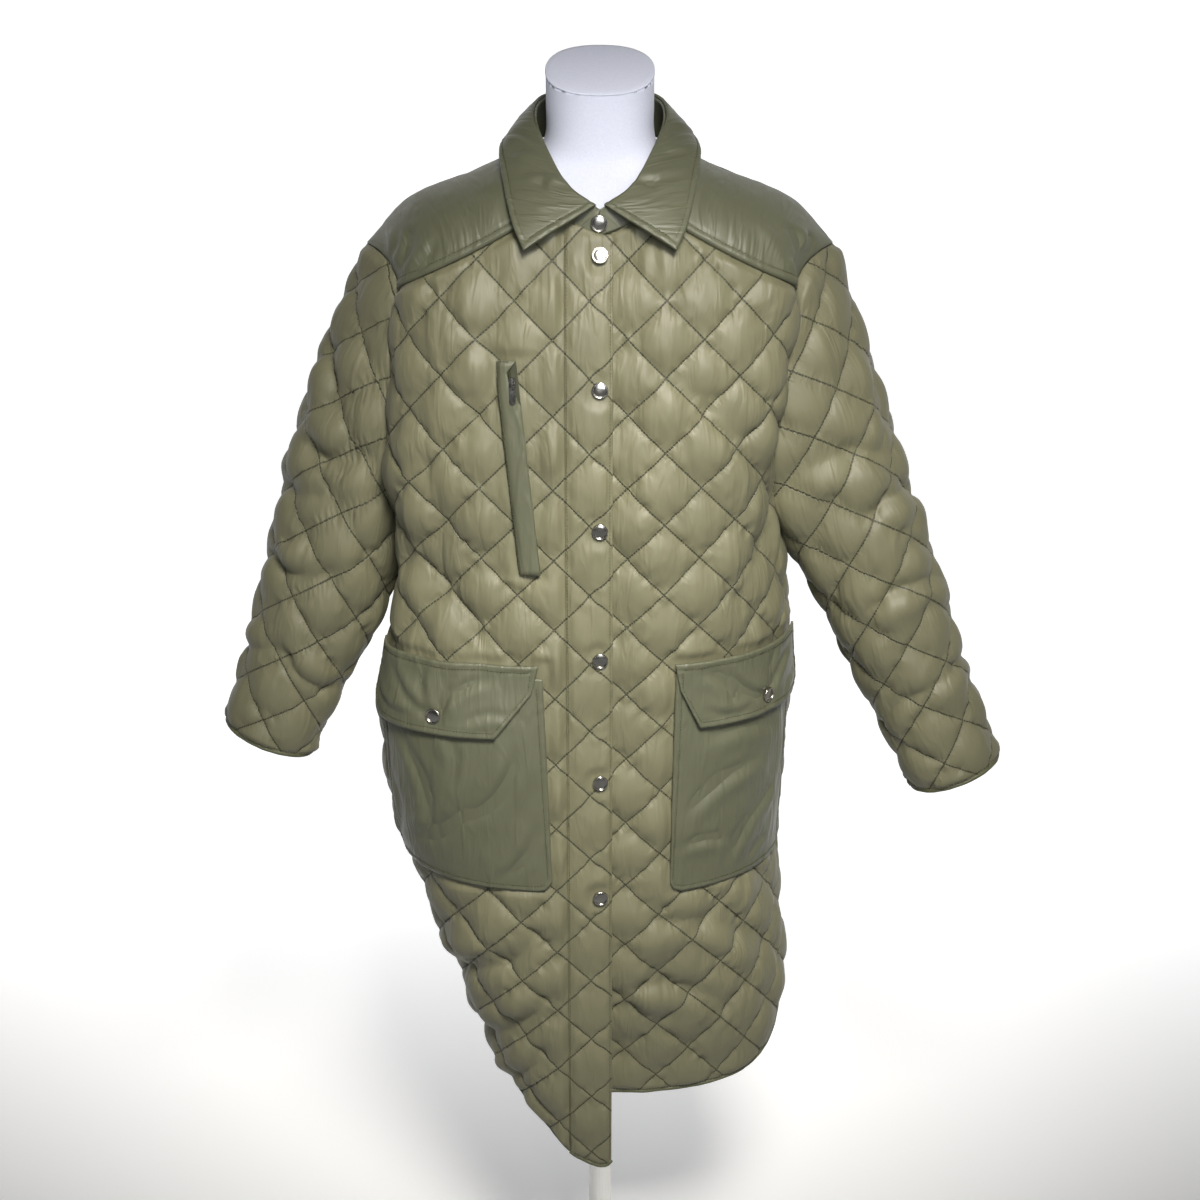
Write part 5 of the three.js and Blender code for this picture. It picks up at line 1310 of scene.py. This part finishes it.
side_way = unit(np.cross(ahead, out))
corners = np.array([(math.cos(t), math.sin(t)) for t in np.linspace(0, 2 * math.pi, 5, endpoint=False)]) * 0.35
ring = coil_line[:, None] + side_way[:, None] * corners[None, :, :1] + np.cross(side_way, ahead)[:, None] * corners[None, :, 1:]
index = np.arange(ring.shape[0] * 5).reshape(-1, 5)
faces = np.stack([index[:-1], np.roll(index, -1, 1)[:-1], np.roll(index, -1, 1)[1:], index[1:]], -1).reshape(-1, 4)
coil = mesh_piece("zip_coil", ring, faces.tolist() + [index[0][::-1].tolist(), index[-1].tolist()], [coil_nylon])
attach(coil, "coat_on_form")
print("zip coil of", len(faces), "faces")

# %% [markdown]
# ## Dress form and stand
# The form is a padded shell covered in white jersey, with no head or arms. Its neck ends in a slanted cap,
# with the jersey's edge gathered under a seam round it. It stands on a steel pole and a round base, both
# enamelled. The torso is smooth, so it is swept from a table of its widths and depths.

# %% Torso
FORM = [
    (470, 150, 92, 92), (520, 168, 104, 108), (620, 172, 108, 114), (760, 142, 96, 92), (820, 136, 96, 90),
    (930, 152, 118, 98), (1010, 166, 112, 100), (1065, 184, 90, 86), (1100, 194, 74, 74), (1118, 190, 68, 70),
    (1138, 163, 64, 66), (1158, 120, 61, 62), (1168, 84, 59, 59), (1178, 67, 57, 57), (1196, 58, 56, 56),
    (1230, 57, 55, 55),
]


def form_ring(z, turn):
    """One level of the torso."""
    half, front, back = smooth_read(FORM, z)[0]
    soft = lambda value: np.sign(value) * np.abs(value) ** (2 / 2.3)
    deep = np.where(np.sin(turn) < 0, front, back)
    return half * soft(np.cos(turn)), deep * soft(np.sin(turn))


def torso_points(around=120):
    """Rings of the torso up to its slanted neck top, then in over the cap."""
    turn = np.linspace(0, 2 * math.pi, around, endpoint=False)
    rings = []
    for drop, inset in ((0, 0.86), (-3, 0.96), (0, 0.995)):
        x, y = form_ring(470, turn)
        rings.append(np.stack([x * inset, y * inset, np.full(around, 470.0 + (6 if inset > 0.99 else drop + 3))], -1))
    for z in np.linspace(482, 1228, 150):
        x, y = form_ring(z, turn)
        rings.append(np.stack([x, y, np.full(around, z)], -1))
    x, y = form_ring(1230, turn)
    top = 1241 + 43 * (y + 57) / 114
    for share, drop in ((0.35, 0), (0.7, 0), (0.93, 0)):
        rings.append(np.stack([x, y, 1230 + (top - 1230) * share], -1))
    for inset, rise in ((1.0, -2.4), (1.012, -1.4), (1.0, -0.3), (0.975, -0.6), (0.96, -0.1), (0.9, 0.0), (0.6, 0.0), (0.3, 0.0), (0.02, 0.0)):
        slope = 43 / 114 * y * (inset - 1)
        rings.append(np.stack([x * inset, y * inset, top + slope + rise], -1))
    return np.array(rings) + (0, 0, COAT_LIFT)


rings = torso_points()
index = np.arange(rings.shape[0] * rings.shape[1]).reshape(rings.shape[:2])
beside = np.roll(index, -1, axis=1)
faces = np.stack([index[:-1], beside[:-1], beside[1:], index[1:]], -1).reshape(-1, 4).tolist()
faces += [index[0][::-1].tolist(), index[-1].tolist()]
torso = mesh_piece("torso_cover", rings, faces, [jersey])
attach(torso, "coat_on_form")
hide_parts("form_torso")
for node in ("form_pole", "form_base"):
    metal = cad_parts[node]
    metal.data.materials.clear()
    metal.data.materials.append(enamel)
    bevel = metal.modifiers.new("rounded_edges", "BEVEL")
    bevel.width = 0.0008
    bevel.segments = 2
    bevel.limit_method = "ANGLE"
    bevel.angle_limit = math.radians(40)
print("torso of", len(faces), "faces")

# %% Sizes and finish
plain = lambda box: [[float(value) for value in corner] for corner in box]
{"cad": plain(cad_box), "visual": plain(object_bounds())}
print("boxes:", plain(cad_box), plain(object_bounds()))
